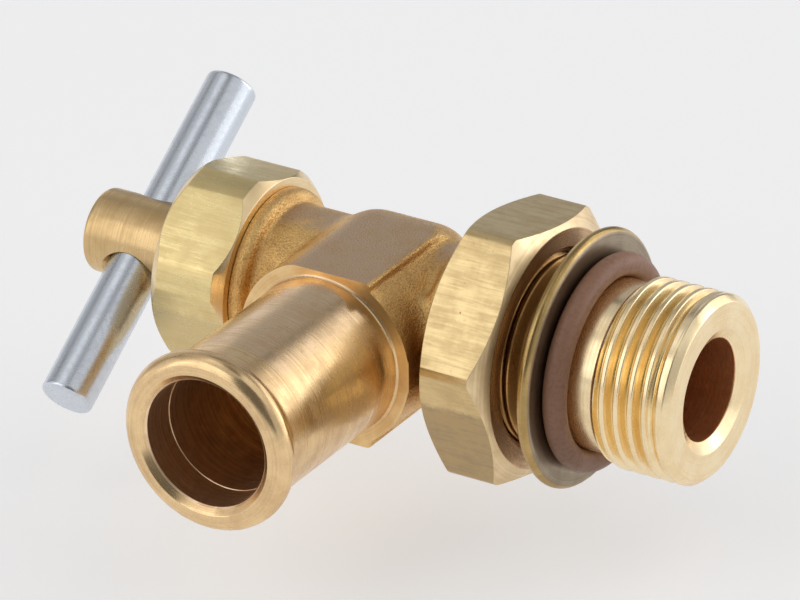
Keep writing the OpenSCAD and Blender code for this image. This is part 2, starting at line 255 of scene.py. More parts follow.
class Effects:
    """The surface effects that several finishes share, as shader node groups."""

    def __init__(self) -> None:
        """Builds each group once."""
        self.turning = self._turning_marks()
        self.forging = self._forged_grain()
        self.drawing = self._drawn_lines()
        self.wear = self._specks()
        self.scratching = self._scratches()

    @staticmethod
    def _turning_marks() -> bpy.types.NodeTree:
        """Fine rings left by a lathe on a piece whose axis is X.

        Rings follow the distance along the axis on a shaft and the radius on a face.

        Returns:
            The group, with a height and a lighter-and-darker mask.
        """
        graph, start, end = new_group(
            "turning_marks",
            "ShaderNodeTree",
            [
                ("Place", "INPUT", "Vector", None),
                ("Rings per mm", "INPUT", "Float", 4.0),
                ("Height", "OUTPUT", "Float", None),
                ("Shade", "OUTPUT", "Float", None),
            ],
        )
        place = start.outputs["Place"]
        across = graph.spread(place, (0.0, 1.0, 1.0))
        radius = graph.vector("LENGTH", across)
        round_about = graph.vector("NORMALIZE", across)
        along = graph.add("ShaderNodeSeparateXYZ", {0: place}).outputs[0]
        travel = graph.math("ADD", along, graph.math("MULTIPLY", radius, 1.07))
        feed = graph.math("MULTIPLY", travel, start.outputs["Rings per mm"])
        turn = graph.vector("SCALE", round_about, 0.35)
        lane = graph.add("ShaderNodeCombineXYZ", {0: feed}).outputs[0]
        ring_place = graph.vector("ADD", lane, turn)
        rings = graph.noise(ring_place, 1.0, 3.0, 0.6)
        wide = graph.noise(graph.vector("SCALE", ring_place, 0.23), 1.0, 3.0, 0.55)
        smudge = graph.noise(place, 0.30, 4.0, 0.6)
        graph.feed(end.inputs["Height"], rings)
        graph.feed(end.inputs["Shade"], graph.blend((rings, 0.5), (wide, 0.3), (smudge, 0.7)))
        return graph.tree

    @staticmethod
    def _forged_grain() -> bpy.types.NodeTree:
        """The pebbled skin of a blasted forging.

        Returns:
            The group, with a height, a mask of dark specks and a slow mask of tint.
        """
        graph, start, end = new_group(
            "forged_grain",
            "ShaderNodeTree",
            [
                ("Place", "INPUT", "Vector", None),
                ("Grain per mm", "INPUT", "Float", 3.0),
                ("Height", "OUTPUT", "Float", None),
                ("Specks", "OUTPUT", "Float", None),
                ("Tint", "OUTPUT", "Float", None),
            ],
        )
        place = start.outputs["Place"]
        scaled = graph.vector("SCALE", place, start.outputs["Grain per mm"])
        fine = graph.noise(scaled, 1.0, 3.0, 0.65)
        coarse = graph.noise(scaled, 0.37, 2.0, 0.5)
        pits = graph.add(
            "ShaderNodeTexVoronoi", {"Vector": scaled, "Scale": 0.8, "Randomness": 1.0}
        ).outputs["Distance"]
        height = graph.math("ADD", graph.math("MULTIPLY", pits, 0.55), fine)
        height = graph.math("ADD", height, graph.math("MULTIPLY", coarse, 0.35))
        graph.feed(end.inputs["Height"], height)
        graph.feed(end.inputs["Specks"], graph.ramp(fine, 0.46, 0.62))
        graph.feed(end.inputs["Tint"], graph.ramp(graph.noise(place, 0.22, 3.0, 0.6), 0.36, 0.64))
        return graph.tree

    @staticmethod
    def _drawn_lines() -> bpy.types.NodeTree:
        """Lines along X on the flats of bar that was drawn through a die.

        Returns:
            The group, with a height and a lighter-and-darker mask.
        """
        graph, start, end = new_group(
            "drawn_lines",
            "ShaderNodeTree",
            [
                ("Place", "INPUT", "Vector", None),
                ("Lines per mm", "INPUT", "Float", 5.0),
                ("Height", "OUTPUT", "Float", None),
                ("Shade", "OUTPUT", "Float", None),
            ],
        )
        lines = graph.vector("SCALE", start.outputs["Place"], start.outputs["Lines per mm"])
        fine = graph.noise(graph.spread(lines, (0.06, 1.0, 1.0)), 1.0, 3.0, 0.6)
        broad = graph.noise(graph.spread(lines, (0.012, 0.22, 0.22)), 1.0, 2.0, 0.5)
        smudge = graph.noise(start.outputs["Place"], 0.35, 4.0, 0.65)
        graph.feed(end.inputs["Height"], fine)
        graph.feed(end.inputs["Shade"], graph.blend((fine, 0.5), (broad, 0.4), (smudge, 0.6)))
        return graph.tree

    @staticmethod
    def _specks() -> bpy.types.NodeTree:
        """Small dark nicks and stains, few and scattered.

        Returns:
            The group, with one mask.
        """
        graph, start, end = new_group(
            "specks",
            "ShaderNodeTree",
            [
                ("Place", "INPUT", "Vector", None),
                ("Share", "INPUT", "Float", 0.2),
                ("Mask", "OUTPUT", "Float", None),
            ],
        )
        place = start.outputs["Place"]
        spots = graph.noise(place, 2.3, 4.0, 0.75)
        where = graph.ramp(graph.noise(place, 0.25, 2.0, 0.5), 0.45, 0.62)
        limit = graph.math("SUBTRACT", 0.80, graph.math("MULTIPLY", start.outputs["Share"], 0.3))
        mask = graph.math("MULTIPLY", graph.math("SUBTRACT", spots, limit), 14.0, clamp=True)
        graph.feed(end.inputs["Mask"], graph.math("MULTIPLY", mask, where))
        return graph.tree

    @staticmethod
    def _scratches() -> bpy.types.NodeTree:
        """Fine straight scratches in two directions.

        Returns:
            The group, with one mask.
        """
        graph, start, end = new_group(
            "scratches",
            "ShaderNodeTree",
            [("Place", "INPUT", "Vector", None), ("Mask", "OUTPUT", "Float", None)],
        )
        layers = []
        for turn, share in (((0.3, 0.5, 0.9), 0.66), ((-0.6, 0.8, -0.4), 0.68)):
            turned = graph.add(
                "ShaderNodeMapping", {"Vector": start.outputs["Place"], "Rotation": turn}
            ).outputs[0]
            lines = graph.noise(graph.spread(turned, (0.22, 5.5, 5.5)), 1.0, 1.0, 0.5)
            layers.append(graph.ramp(lines, share, share + 0.07))
        graph.feed(end.inputs["Mask"], graph.math("MAXIMUM", *layers))
        return graph.tree


@dataclass(frozen=True)
class Finish:
    """A material of the valve, with the marks of how its surface was made.

    Attributes:
        name: The material's name.
        light: Base colour of the cleaner metal.
        dark: Base colour of the duller metal.
        relief: How the surface was made.
        roughness: Lowest and highest roughness.
        marks: Marks per millimetre.
        bump: Depth of the marks, in millimetres.
        metallic: Share of metal.
        stains: Share of small dark stains.
        stain: Colour of the stains.
        axis: Direction of the piece's own axis, along which it was turned or drawn.
        centre: A point on that axis, in millimetres from the row's origin.
        scratch: Share by which scratches lighten the metal.
        skin: Colour painted over the box tone_and_shade_box, or None: painted shade on a nut's
            lower flats, a painted reflection of the sky on the block's top, and a duller tone on
            the tail's top.
        tone_and_shade_box: Lowest and highest corner of the place of that colour, in millimetres.
        tone_and_shade_share: How much of that colour covers the metal there.
        tone_and_shade_lean: Least upward lean of the surface that the colour lies on, or 0 for any.
    """

    name: str
    light: Colour
    dark: Colour
    relief: Relief
    roughness: tuple[float, float]
    marks: float = 4.0
    bump: float = 0.02
    metallic: float = 1.0
    stains: float = 0.2
    stain: Colour = (0.12, 0.07, 0.035)
    axis: Corner = (1.0, 0.0, 0.0)
    centre: Corner = (0.0, 0.0, 0.0)
    scratch: float = 0.0
    skin: Colour | None = None
    tone_and_shade_box: tuple[Corner, Corner] = ((0.0, 0.0, 0.0), (0.0, 0.0, 0.0))
    tone_and_shade_share: float = 0.6
    tone_and_shade_lean: float = 0.0

    def place(self, graph: Graph) -> bpy.types.NodeSocket:
        """Gives the place on the piece in millimetres, with the piece's axis along X.

        Args:
            graph: The material's graph.

        Returns:
            The output socket of the turned and centred place.
        """
        here = graph.add("ShaderNodeTexCoord").outputs["Object"]
        scaled = graph.vector("SCALE", here, 1.0 / MM)
        centred = graph.vector("SUBTRACT", scaled, self.centre)
        if self.axis == (1.0, 0.0, 0.0):
            return centred
        turn = Vector(self.axis).rotation_difference(Vector((1.0, 0.0, 0.0))).to_euler()
        mapping = graph.add("ShaderNodeMapping", {"Vector": centred, "Rotation": turn})
        return mapping.outputs[0]

    def marks_on(
        self, graph: Graph, effects: Effects, place: bpy.types.NodeSocket
    ) -> tuple[bpy.types.NodeSocket, bpy.types.NodeSocket]:
        """Adds the marks of the surface's making.

        Args:
            graph: The material's graph.
            effects: The shared effects.
            place: The place on the piece, in millimetres.

        Returns:
            The height of the marks, and a mask of lighter and darker metal.
        """
        if self.relief in (Relief.TURNED, Relief.DRAWN):
            group = effects.turning if self.relief is Relief.TURNED else effects.drawing
            node = graph.add("ShaderNodeGroup", node_tree=group)
            graph.feed(node.inputs[0], place)
            graph.feed(node.inputs[1], self.marks)
            return node.outputs["Height"], graph.ramp(node.outputs["Shade"], 0.55, 0.95)
        node = graph.add("ShaderNodeGroup", node_tree=effects.forging)
        graph.feed(node.inputs[0], place)
        graph.feed(node.inputs[1], self.marks)
        shade = graph.math("MULTIPLY", node.outputs["Specks"], 0.55)
        slow = graph.math("MULTIPLY", node.outputs["Tint"], 0.45)
        return node.outputs["Height"], graph.math("ADD", shade, slow)

    def tone_and_shade_mask(self, graph: Graph, shade: bpy.types.NodeSocket) -> bpy.types.NodeSocket:
        """Gives a soft mask of the box of the skin colour (painted shade, a painted sky reflection, a
        duller top), broken up by noise and by the grain.
        """
        here = graph.add("ShaderNodeTexCoord").outputs["Object"]
        scaled = graph.vector("SCALE", here, 1.0 / MM)
        ragged = graph.math("MULTIPLY", graph.noise(scaled, 0.6, 4.0, 0.7), 2.4)
        parts = graph.add("ShaderNodeSeparateXYZ", {0: scaled}).outputs
        mask: object = graph.ramp(shade, 0.0, 1.0, self.tone_and_shade_share, 0.5 * self.tone_and_shade_share)
        for part, low, high in zip(parts, *self.tone_and_shade_box, strict=True):
            wavy = graph.math("ADD", part, graph.math("SUBTRACT", ragged, 1.2))
            mask = graph.math("MULTIPLY", mask, graph.ramp(wavy, low, low + 1.0))
            mask = graph.math("MULTIPLY", mask, graph.ramp(wavy, high, high - 1.0))
        if self.tone_and_shade_lean > 0.0:
            normal = graph.add("ShaderNodeTexCoord").outputs["Normal"]
            lean = graph.add("ShaderNodeSeparateXYZ", {0: normal}).outputs["Z"]
            mask = graph.math("MULTIPLY", mask, graph.ramp(lean, self.tone_and_shade_lean, 0.99))
        return mask

    def build(self, effects: Effects) -> bpy.types.Material:
        """Builds the material.

        Args:
            effects: The shared effects.

        Returns:
            The new material.
        """
        material = bpy.data.materials.new(self.name)
        material.use_nodes = True
        material.node_tree.nodes.clear()
        graph = Graph(material.node_tree)
        place = self.place(graph)
        height, shade = self.marks_on(graph, effects, place)
        colour = graph.mix(shade, self.light, self.dark)
        # Skin colour: painted shade on a nut's lower flats, a painted reflection of the sky on the
        # block's top flat, and a duller tone on the tail's top.
        if self.skin is not None:
            colour = graph.mix(self.tone_and_shade_mask(graph, shade), colour, self.skin)
        specks = graph.add("ShaderNodeGroup", node_tree=effects.wear)
        graph.feed(specks.inputs["Place"], place)
        graph.feed(specks.inputs["Share"], self.stains)
        colour = graph.mix(specks.outputs["Mask"], colour, self.stain)
        if self.scratch > 0.0:
            lines = graph.add("ShaderNodeGroup", {"Place": place}, node_tree=effects.scratching)
            share = graph.math("MULTIPLY", lines.outputs["Mask"], self.scratch)
            colour = graph.mix(share, colour, self.light)
        rough = graph.ramp(shade, 0.0, 1.0, *self.roughness)
        rough = graph.math("ADD", rough, graph.math("MULTIPLY", specks.outputs["Mask"], 0.2))
        bump = graph.add(
            "ShaderNodeBump", {"Strength": 1.0, "Distance": self.bump * MM, "Height": height}
        )
        shader = graph.add(
            "ShaderNodeBsdfPrincipled",
            {"Base Color": colour, "Metallic": self.metallic, "Roughness": rough},
        )
        graph.feed(shader.inputs["Normal"], bump.outputs[0])
        graph.add("ShaderNodeOutputMaterial", {"Surface": shader.outputs[0]})
        return material


# Meshes


@dataclass
class Shell:
    """Points and faces of a mesh in millimetres, before it becomes an object."""

    points: np.ndarray
    faces: list[tuple[int, ...]]

    def joined(self, other: "Shell") -> "Shell":
        """Puts two shells side by side in one."""
        offset = len(self.points)
        moved = [tuple(index + offset for index in face) for face in other.faces]
        return Shell(np.concatenate([self.points, other.points]), self.faces + moved)

    def turned(self, matrix: Matrix) -> "Shell":
        """Gives the shell turned and moved by a matrix in millimetres."""
        array = np.array(matrix)
        return Shell(self.points @ array[:3, :3].T + array[:3, 3], self.faces)


def rounded(corners: Sequence[Corner], closed: bool = True, steps: int = 4) -> np.ndarray:
    """Rounds the corners of a section.

    Args:
        corners: (station, radius, rounding) of each corner, in millimetres.
        closed: True if the last corner joins the first.
        steps: Points on each rounded corner, less one.

    Returns:
        The section's points as rows of station and radius.
    """
    places = [np.array(corner[:2], float) for corner in corners]
    points: list[np.ndarray] = []
    for index, (place, corner) in enumerate(zip(places, corners, strict=True)):
        before, after = places[index - 1], places[(index + 1) % len(places)]
        size = corner[2]
        if size <= 0 or (not closed and index in (0, len(places) - 1)):
            points.append(place)
            continue
        arms = []
        for neighbour in (before, after):
            span = float(np.linalg.norm(neighbour - place))
            arms.append(place + (neighbour - place) * min(size, 0.45 * span) / max(span, 1e-9))
        for step in range(steps + 1):
            share = step / steps
            first = arms[0] * (1 - share) + place * share
            second = place * (1 - share) + arms[1] * share
            points.append(first * (1 - share) + second * share)
    return np.array(points)


def skin(rings: np.ndarray, closed: bool) -> Shell:
    """Joins rings of points into a shell.

    Args:
        rings: Points as rings, points on a ring, and X, Y and Z.
        closed: True if the last ring joins the first.

    Returns:
        The shell.
    """
    count, around = rings.shape[:2]
    faces = []
    for ring in range(count if closed else count - 1):
        below, above = ring * around, ((ring + 1) % count) * around
        for index in range(around):
            after = (index + 1) % around
            faces.append((below + index, below + after, above + after, above + index))
    return Shell(rings.reshape(-1, 3), faces)


def held(section: np.ndarray, closed: bool, reach: float = 0.25) -> np.ndarray:
    """Adds a point near both ends of each long stretch, so that it is shaded straight.

    Args:
        section: Rows of station and radius.
        closed: True if the last point joins the first.
        reach: Distance of the new points from the ends, in millimetres.

    Returns:
        The section with the new points.
    """
    after = np.roll(section, -1, axis=0) if closed else section[1:]
    points = []
    for start, end in zip(section[: len(after)], after, strict=True):
        points.append(start)
        length = float(np.linalg.norm(end - start))
        if length > 4 * reach:
            step = (end - start) * reach / length
            points += [start + step, end - step]
    if not closed:
        points.append(section[-1])
    return np.array(points)


def around_x(section: np.ndarray, around: int = 180, closed: bool = True) -> Shell:
    """Turns a section about the valve's axis.

    Args:
        section: Rows of station and radius.
        around: Points on each ring.
        closed: True if the section is a closed loop.

    Returns:
        The turned shell.
    """
    angle = np.arange(around) / around * math.tau
    section = held(section, closed)
    station, radius = section[:, :1], section[:, 1:]
    level = station + 0 * angle
    return skin(np.stack([level, radius * np.cos(angle), radius * np.sin(angle)], -1), closed)


def make_piece(
    name: str, shell: Shell, materials: Sequence[bpy.types.Material], body: Body,
    sharp: float = 32.0, pick: Callable[[Vector, Vector], int] | None = None,
) -> bpy.types.Object:
    """Makes an object from a shell and lets it ride on a body.

    Args:
        name: The piece's name.
        shell: Its points and faces, in millimetres in the row's frame.
        materials: Its materials.
        body: The body that it rides on.
        sharp: Angle between faces above which an edge stays sharp, in degrees.
        pick: Chooses a material for a face from its centre and its normal, or None.

    Returns:
        The new object.
    """
    mesh = bpy.data.meshes.new(name)
    mesh.from_pydata((shell.points * MM).tolist(), [], shell.faces)
    work = bmesh.new()
    work.from_mesh(mesh)
    bmesh.ops.remove_doubles(work, verts=work.verts, dist=0.002 * MM)
    bmesh.ops.dissolve_degenerate(work, dist=0.0005 * MM, edges=work.edges)
    bmesh.ops.recalc_face_normals(work, faces=work.faces)
    if pick is not None:
        for face in work.faces:
            face.material_index = pick(face.calc_center_median() / MM, face.normal)
    work.to_mesh(mesh)
    work.free()
    mesh.shade_smooth()
    mesh.set_sharp_from_angle(angle=math.radians(sharp))
    for material in materials:
        mesh.materials.append(material)
    piece = bpy.data.objects.new(name, mesh)
    bpy.context.collection.objects.link(piece)
    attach(piece, body.value)
    LOG.info("%s: %d faces", name, len(mesh.polygons))
    return piece


@dataclass(frozen=True)
class Cut:
    """A flat cut, square to one axis.

    Attributes:
        axis: Index of the axis that it is square to.
        level: Its place along that axis, in millimetres.
    """

    axis: int
    level: float


def net(
    field_of: Callable[[np.ndarray], np.ndarray], low: Corner, high: Corner, step: float,
    cuts: Sequence[Cut],
) -> Shell:
    """Wraps the surface where a field is zero in a net of four-sided faces.

    Args:
        field_of: Gives the signed distance to the surface for rows of points.
        low: Lowest corner of the box that is searched, in millimetres.
        high: Its highest corner.
        step: Size of the net's meshes.
        cuts: Flat cuts half a mesh inside the box, in which the net's rims lie.

    Returns:
        The shell, whose points lie on the surface and which is open at its cuts.
    """
    axes = [
        a + step * np.arange(int(round((b - a) / step)) + 1) for a, b in zip(low, high, strict=True)
    ]
    value = field_of(np.stack(np.meshgrid(*axes, indexing="ij"), -1))
    cells = tuple(count - 1 for count in value.shape)
    total, crossings = np.zeros((*cells, 3)), np.zeros(cells)
    base = np.stack(np.meshgrid(*[a[:-1] for a in axes], indexing="ij"), -1)
    units = np.eye(3, dtype=int)

    def corner(offset: np.ndarray) -> np.ndarray:
        """The field at one corner of every cell."""
        cut = tuple(slice(o, o + n) for o, n in zip(offset, cells, strict=True))
        return value[cut]

    for axis in range(3):
        sides = [units[other] for other in range(3) if other != axis]
        for first in (0, 1):
            for second in (0, 1):
                offset = first * sides[0] + second * sides[1]
                a, b = corner(offset), corner(offset + units[axis])
                cut = (a < 0) != (b < 0)
                share = np.where(cut, a / np.where(cut, a - b, 1.0), 0.0)
                place = base + offset * step + share[..., None] * units[axis] * step
                total += np.where(cut[..., None], place, 0.0)
                crossings += cut
    active = crossings > 0
    number = np.full(cells, -1)
    number[active] = np.arange(int(active.sum()))
    points = total[active] / crossings[active][:, None]
    free = np.ones_like(points)
    layers = np.argwhere(active)
    for cut in cuts:
        held = layers[:, cut.axis] == int((cut.level - low[cut.axis]) // step)
        points[held, cut.axis] = cut.level
        free[held, cut.axis] = 0.0
    faces: list[tuple[int, ...]] = []
    for axis in range(3):
        u, v = [units[other] for other in range(3) if other != axis]
        inner = [slice(1, n) if other != axis else slice(0, n) for other, n in enumerate(cells)]
        ahead = [slice(s.start + (i == axis), s.stop + (i == axis)) for i, s in enumerate(inner)]
        crossing = (value[tuple(inner)] < 0) != (value[tuple(ahead)] < 0)
        spots = np.argwhere(crossing) + np.array([s.start for s in inner])
        quads = [number[tuple((spots - shift).T)] for shift in (0 * u, u, u + v, v)]
        faces += [tuple(row) for row in np.stack(quads, 1).tolist() if min(row) >= 0]
    nudge = 0.01
    for _ in range(4):
        distance = field_of(points)
        slope = np.stack(
            [(field_of(points + nudge * e) - field_of(points - nudge * e)) / (2 * nudge) for e in units],
            -1,
        ) * free
        length = np.maximum((slope**2).sum(-1), 0.2)
        points = points - np.clip(distance / length, -step, step)[:, None] * slope
    return Shell(points, faces)


def soft_min(first: np.ndarray, second: np.ndarray, size: float) -> np.ndarray:
    """Joins two distance fields with a fillet of about the given size."""
    share = np.clip(0.5 + 0.5 * (second - first) / size, 0.0, 1.0)
    return second * (1 - share) + first * share - size * share * (1 - share)


def soft_max(first: np.ndarray, second: np.ndarray, size: float) -> np.ndarray:
    """Intersects two distance fields with an edge rounded to about the given size."""
    return -soft_min(-first, -second, size)


def rim_walk(edges: Sequence[bmesh.types.BMEdge]) -> list[list[bmesh.types.BMVert]]:
    """Sorts loose rim edges into closed loops of points, the longest first."""
    nearby: dict[bmesh.types.BMVert, list[bmesh.types.BMVert]] = {}
    for edge in edges:
        for point, other in (edge.verts, reversed(edge.verts)):
            nearby.setdefault(point, []).append(other)
    loops = []
    while nearby:
        loop = [next(iter(nearby))]
        while True:
            options = [point for point in nearby.pop(loop[-1], []) if point in nearby]
            if not options:
                break
            loop.append(options[0])
        loops.append(loop)
    return sorted(loops, key=len, reverse=True)


def close_cut(work: bmesh.types.BMesh, cut: Cut) -> None:
    """Closes a flat cut between its two rims, which both run round one axis.

    Args:
        work: The mesh.
        cut: The cut.
    """
    normal = Vector([float(index == cut.axis) for index in range(3)])
    place = normal * cut.level
    level = {point for point in work.verts if abs((point.co - place).dot(normal)) < 1e-4}
    rim = [edge for edge in work.edges if edge.is_boundary and set(edge.verts) <= level]
    across = normal.orthogonal().normalized()
    upward = normal.cross(across)
    rings = []
    for loop in rim_walk(rim)[:2]:
        arms = [point.co - place for point in loop]
        turns = np.unwrap([math.atan2(arm.dot(upward), arm.dot(across)) for arm in arms])
        if turns[-1] < turns[0]:
            loop, turns = loop[::-1], turns[::-1]
        first = int(np.argmin(np.mod(turns, math.tau)))
        turns = np.concatenate([turns[first:], turns[:first] + math.tau])
        turns -= math.floor(turns[0] / math.tau) * math.tau
        width = float(np.mean([arm.length for arm in arms]))
        rings.append((width, loop[first:] + loop[:first], np.append(turns, turns[0] + math.tau)))
    (_, inner, inner_turns), (_, outer, outer_turns) = sorted(rings, key=lambda ring: ring[0])
    at, on = 0, 0
    while at < len(outer) or on < len(inner):
        far, near = outer[at % len(outer)], inner[on % len(inner)]
        ahead = on == len(inner) or (
            at < len(outer) and outer_turns[at + 1] <= inner_turns[on + 1]
        )
        if ahead:
            at += 1
            work.faces.new((far, outer[at % len(outer)], near))
        else:
            on += 1
            work.faces.new((far, inner[on % len(inner)], near))


def capped(shell: Shell, cuts: Sequence[Cut]) -> Shell:
    """Closes the flat cuts of a shell.

    Args:
        shell: The shell, in millimetres.
        cuts: Its cuts.

    Returns:
        The closed shell.
    """
    mesh = bpy.data.meshes.new("open")
    mesh.from_pydata(shell.points.tolist(), [], shell.faces)
    work = bmesh.new()
    work.from_mesh(mesh)
    loose = [point for point in work.verts if not point.link_faces]
    bmesh.ops.delete(work, geom=loose, context="VERTS")
    for cut in cuts:
        close_cut(work, cut)
    points = np.array([vertex.co for vertex in work.verts])
    work.verts.index_update()
    faces = [tuple(vertex.index for vertex in face.verts) for face in work.faces]
    work.free()
    bpy.data.meshes.remove(mesh)
    return Shell(points, faces)


@dataclass(frozen=True)
class Thread:
    """One stretch of screw thread about the valve's axis.

    Attributes:
        start: Station where the stretch begins.
        length: Its length.
        crest: Radius over the crests.
        depth: Depth from crest to root.
        pitch: Travel of one turn.
        lead_in: Length of the cone at its start, or 0.
        low: Radius at the foot of that cone.
        fade: Length over which the groove runs out at its end.
    """

    start: float
    length: float
    crest: float
    depth: float
    pitch: float
    lead_in: float = 0.0
    low: float = 0.0
    fade: float = 0.0


class ThreadCutter:
    """Cuts threads with one Geometry Nodes tree that bends a grid into a grooved sleeve.

    The rows of the grid follow the helix, so that crests and roots are clean lines. What passes
    the sleeve's ends is drawn back to its rims, which are round.
    """

    def __init__(self, around: int = 180, rows: int = 24) -> None:
        """Builds the tree.

        Args:
            around: Points on each ring of a sleeve.
            rows: Rows of points in each turn of the thread.
        """
        self.around = around
        self.rows = rows
        sizes = ("Start", "Length", "Crest", "Depth", "Pitch", "Lead-in", "Low", "Fade")
        sockets = [(name, "INPUT", "Float", 1.0) for name in sizes]
        sockets += [
            ("Around", "INPUT", "Int", around),
            ("Along", "INPUT", "Int", 60),
            ("Material", "INPUT", "Material", None),
            ("Sleeve", "OUTPUT", "Geometry", None),
        ]
        self.graph, start, end = new_group("threaded_sleeve", "GeometryNodeTree", sockets)
        self._wire(start.outputs, end)

    def _wire(self, sizes: bpy.types.NodeOutputs, end: bpy.types.Node) -> None:
        """Links the tree from its sizes to its sleeve.

        Args:
            sizes: The sockets of the group's input node.
            end: The group's output node.
        """
        graph = self.graph
        columns = graph.math("ADD", sizes["Around"], 1.0)
        grid = graph.add(
            "GeometryNodeMeshGrid",
            {"Size X": 1.0, "Size Y": 1.0, "Vertices X": columns, "Vertices Y": sizes["Along"]},
        )
        place = graph.add("GeometryNodeInputPosition").outputs[0]
        parts = graph.add("ShaderNodeSeparateXYZ", {0: place}).outputs
        turn = graph.math("ADD", parts[0], 0.5)
        row = graph.math(
            "MULTIPLY", graph.math("ADD", parts[1], 0.5), graph.math("SUBTRACT", sizes["Along"], 1.0)
        )
        turns = graph.math("SUBTRACT", graph.math("DIVIDE", row, float(self.rows)), 1.0)
        run = graph.math("MULTIPLY", graph.math("ADD", turns, turn), sizes["Pitch"])
        run = graph.math("MINIMUM", graph.math("MAXIMUM", run, 0.0), sizes["Length"])
        station = graph.math("ADD", sizes["Start"], run)
        left = graph.math("SUBTRACT", sizes["Length"], run)
        phase = graph.math("SUBTRACT", graph.math("DIVIDE", run, sizes["Pitch"]), turn)
        wave = graph.math("MULTIPLY", graph.math("PINGPONG", phase, 0.5), 2.0)
        climb = graph.math("MINIMUM", graph.math("DIVIDE", wave, 0.75), 1.0)
        ridge = graph.math("POWER", climb, 1.6)
        fade = graph.add("ShaderNodeMapRange", {0: left, 1: 0.0, 2: sizes["Fade"]}).outputs[0]
        groove = graph.math("MULTIPLY", graph.math("SUBTRACT", 1.0, ridge), sizes["Depth"])
        radius = graph.math("SUBTRACT", sizes["Crest"], graph.math("MULTIPLY", groove, fade))
        cone = graph.add(
            "ShaderNodeMapRange",
            {0: run, 1: 0.0, 2: sizes["Lead-in"], 3: sizes["Low"], 4: sizes["Crest"]},
        ).outputs[0]
        radius = graph.math("MINIMUM", radius, cone)
        angle = graph.math("MULTIPLY", turn, math.tau)
        across = graph.math("MULTIPLY", radius, graph.math("COSINE", angle))
        up = graph.math("MULTIPLY", radius, graph.math("SINE", angle))
        bent = graph.add("ShaderNodeCombineXYZ", {0: station, 1: across, 2: up}).outputs[0]
        moved = graph.add(
            "GeometryNodeSetPosition", {"Geometry": grid.outputs["Mesh"], "Position": bent}
        )
        sealed = graph.add(
            "GeometryNodeMergeByDistance", {"Geometry": moved.outputs[0], "Distance": 0.001}
        )
        real = graph.add("GeometryNodeRealizeInstances", {"Geometry": sealed.outputs[0]})
        dressed = graph.add(
            "GeometryNodeSetMaterial",
            {"Geometry": real.outputs[0], "Material": sizes["Material"]},
        )
        graph.feed(end.inputs["Sleeve"], dressed.outputs[0])

    def cut(self, thread: Thread, material: bpy.types.Material) -> Shell:
        """Cuts one thread.

        Args:
            thread: Its sizes.
            material: The finish of the sleeve.

        Returns:
            The open sleeve, whose two rims are round.
        """
        along = math.ceil((thread.length / thread.pitch + 1.0) * self.rows) + 1
        values = {
            "Start": thread.start, "Length": thread.length, "Crest": thread.crest,
            "Depth": thread.depth, "Pitch": thread.pitch, "Lead-in": max(thread.lead_in, 1e-4),
            "Low": thread.low if thread.lead_in else thread.crest,
            "Fade": max(thread.fade, 1e-4), "Around": self.around, "Along": along,
            "Material": material,
        }
        carrier = bpy.data.objects.new("sleeve", bpy.data.meshes.new("sleeve"))
        bpy.context.collection.objects.link(carrier)
        modifier = carrier.modifiers.new("thread", "NODES")
        modifier.node_group = self.graph.tree
        for item in self.graph.tree.interface.items_tree:
            if item.in_out == "INPUT":
                modifier[item.identifier] = values[item.name]
        evaluated = carrier.evaluated_get(bpy.context.evaluated_depsgraph_get())
        mesh = bpy.data.meshes.new_from_object(evaluated)
        points = np.array([vertex.co for vertex in mesh.vertices])
        faces = [tuple(polygon.vertices) for polygon in mesh.polygons]
        bpy.data.objects.remove(carrier)
        bpy.data.meshes.remove(mesh)
        return Shell(points, faces)


# The valve


@dataclass(frozen=True)
class Layout:
    """The stations that pieces share, read from the frame, in millimetres.

    Attributes:
        hose_axis: Place of the hose tail's axis along the row's X.
        spans: Lowest and highest corner of each CAD node, from the hose tail's axis.
    """

    hose_axis: float
    spans: Mapping[str, tuple[Vector, Vector]]

    @classmethod
    def read(cls, frame: Mapping[str, object]) -> "Layout":
        """Reads the stations.


        Returns:
            The layout.
        """
        mounts = frame["record"]["mounts"]
        axis = next(m["pos_m"][0] for m in mounts if m["name"] == "hose_bore") / MM
        shift = Vector((axis, 0.0, 0.0))
        spans = {}
        for name in frame["nodes"]:
            low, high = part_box(name)
            spans[name] = (Vector(low) / MM - shift, Vector(high) / MM - shift)
        return cls(axis, spans)

    def start(self, node: str) -> float:
        """Lowest station of a node."""
        return self.spans[node][0].x

    def end(self, node: str) -> float:
        """Highest station of a node."""
        return self.spans[node][1].x

    def radius(self, node: str) -> float:
        """Half the height of a node, which is the radius of a round one."""
        return (self.spans[node][1].z - self.spans[node][0].z) / 2

    def placed(self, shell: Shell) -> Shell:
        """Moves a shell from the hose tail's axis to the row's frame."""
        return shell.turned(Matrix.Translation((self.hose_axis, 0.0, 0.0)))


@dataclass
class Workshop:
    """What every sub-assembly needs to make and dress its pieces."""

    layout: Layout
    effects: Effects
    threads: ThreadCutter
    finishes: dict[str, bpy.types.Material] = field(default_factory=dict)

    def finish(self, finish: Finish) -> bpy.types.Material:
        """Builds a finish once and gives its material."""
        if finish.name not in self.finishes:
            self.finishes[finish.name] = finish.build(self.effects)
        return self.finishes[finish.name]

    def dress(self, frame: Mapping[str, object], node: str, finish: Finish) -> None:
        """Gives a CAD node that stays a finish of its own."""
        piece = frame["nodes"][node]
        piece.data.materials.clear()
        piece.data.materials.append(self.finish(finish))
        LOG.info("%s: dressed", node)


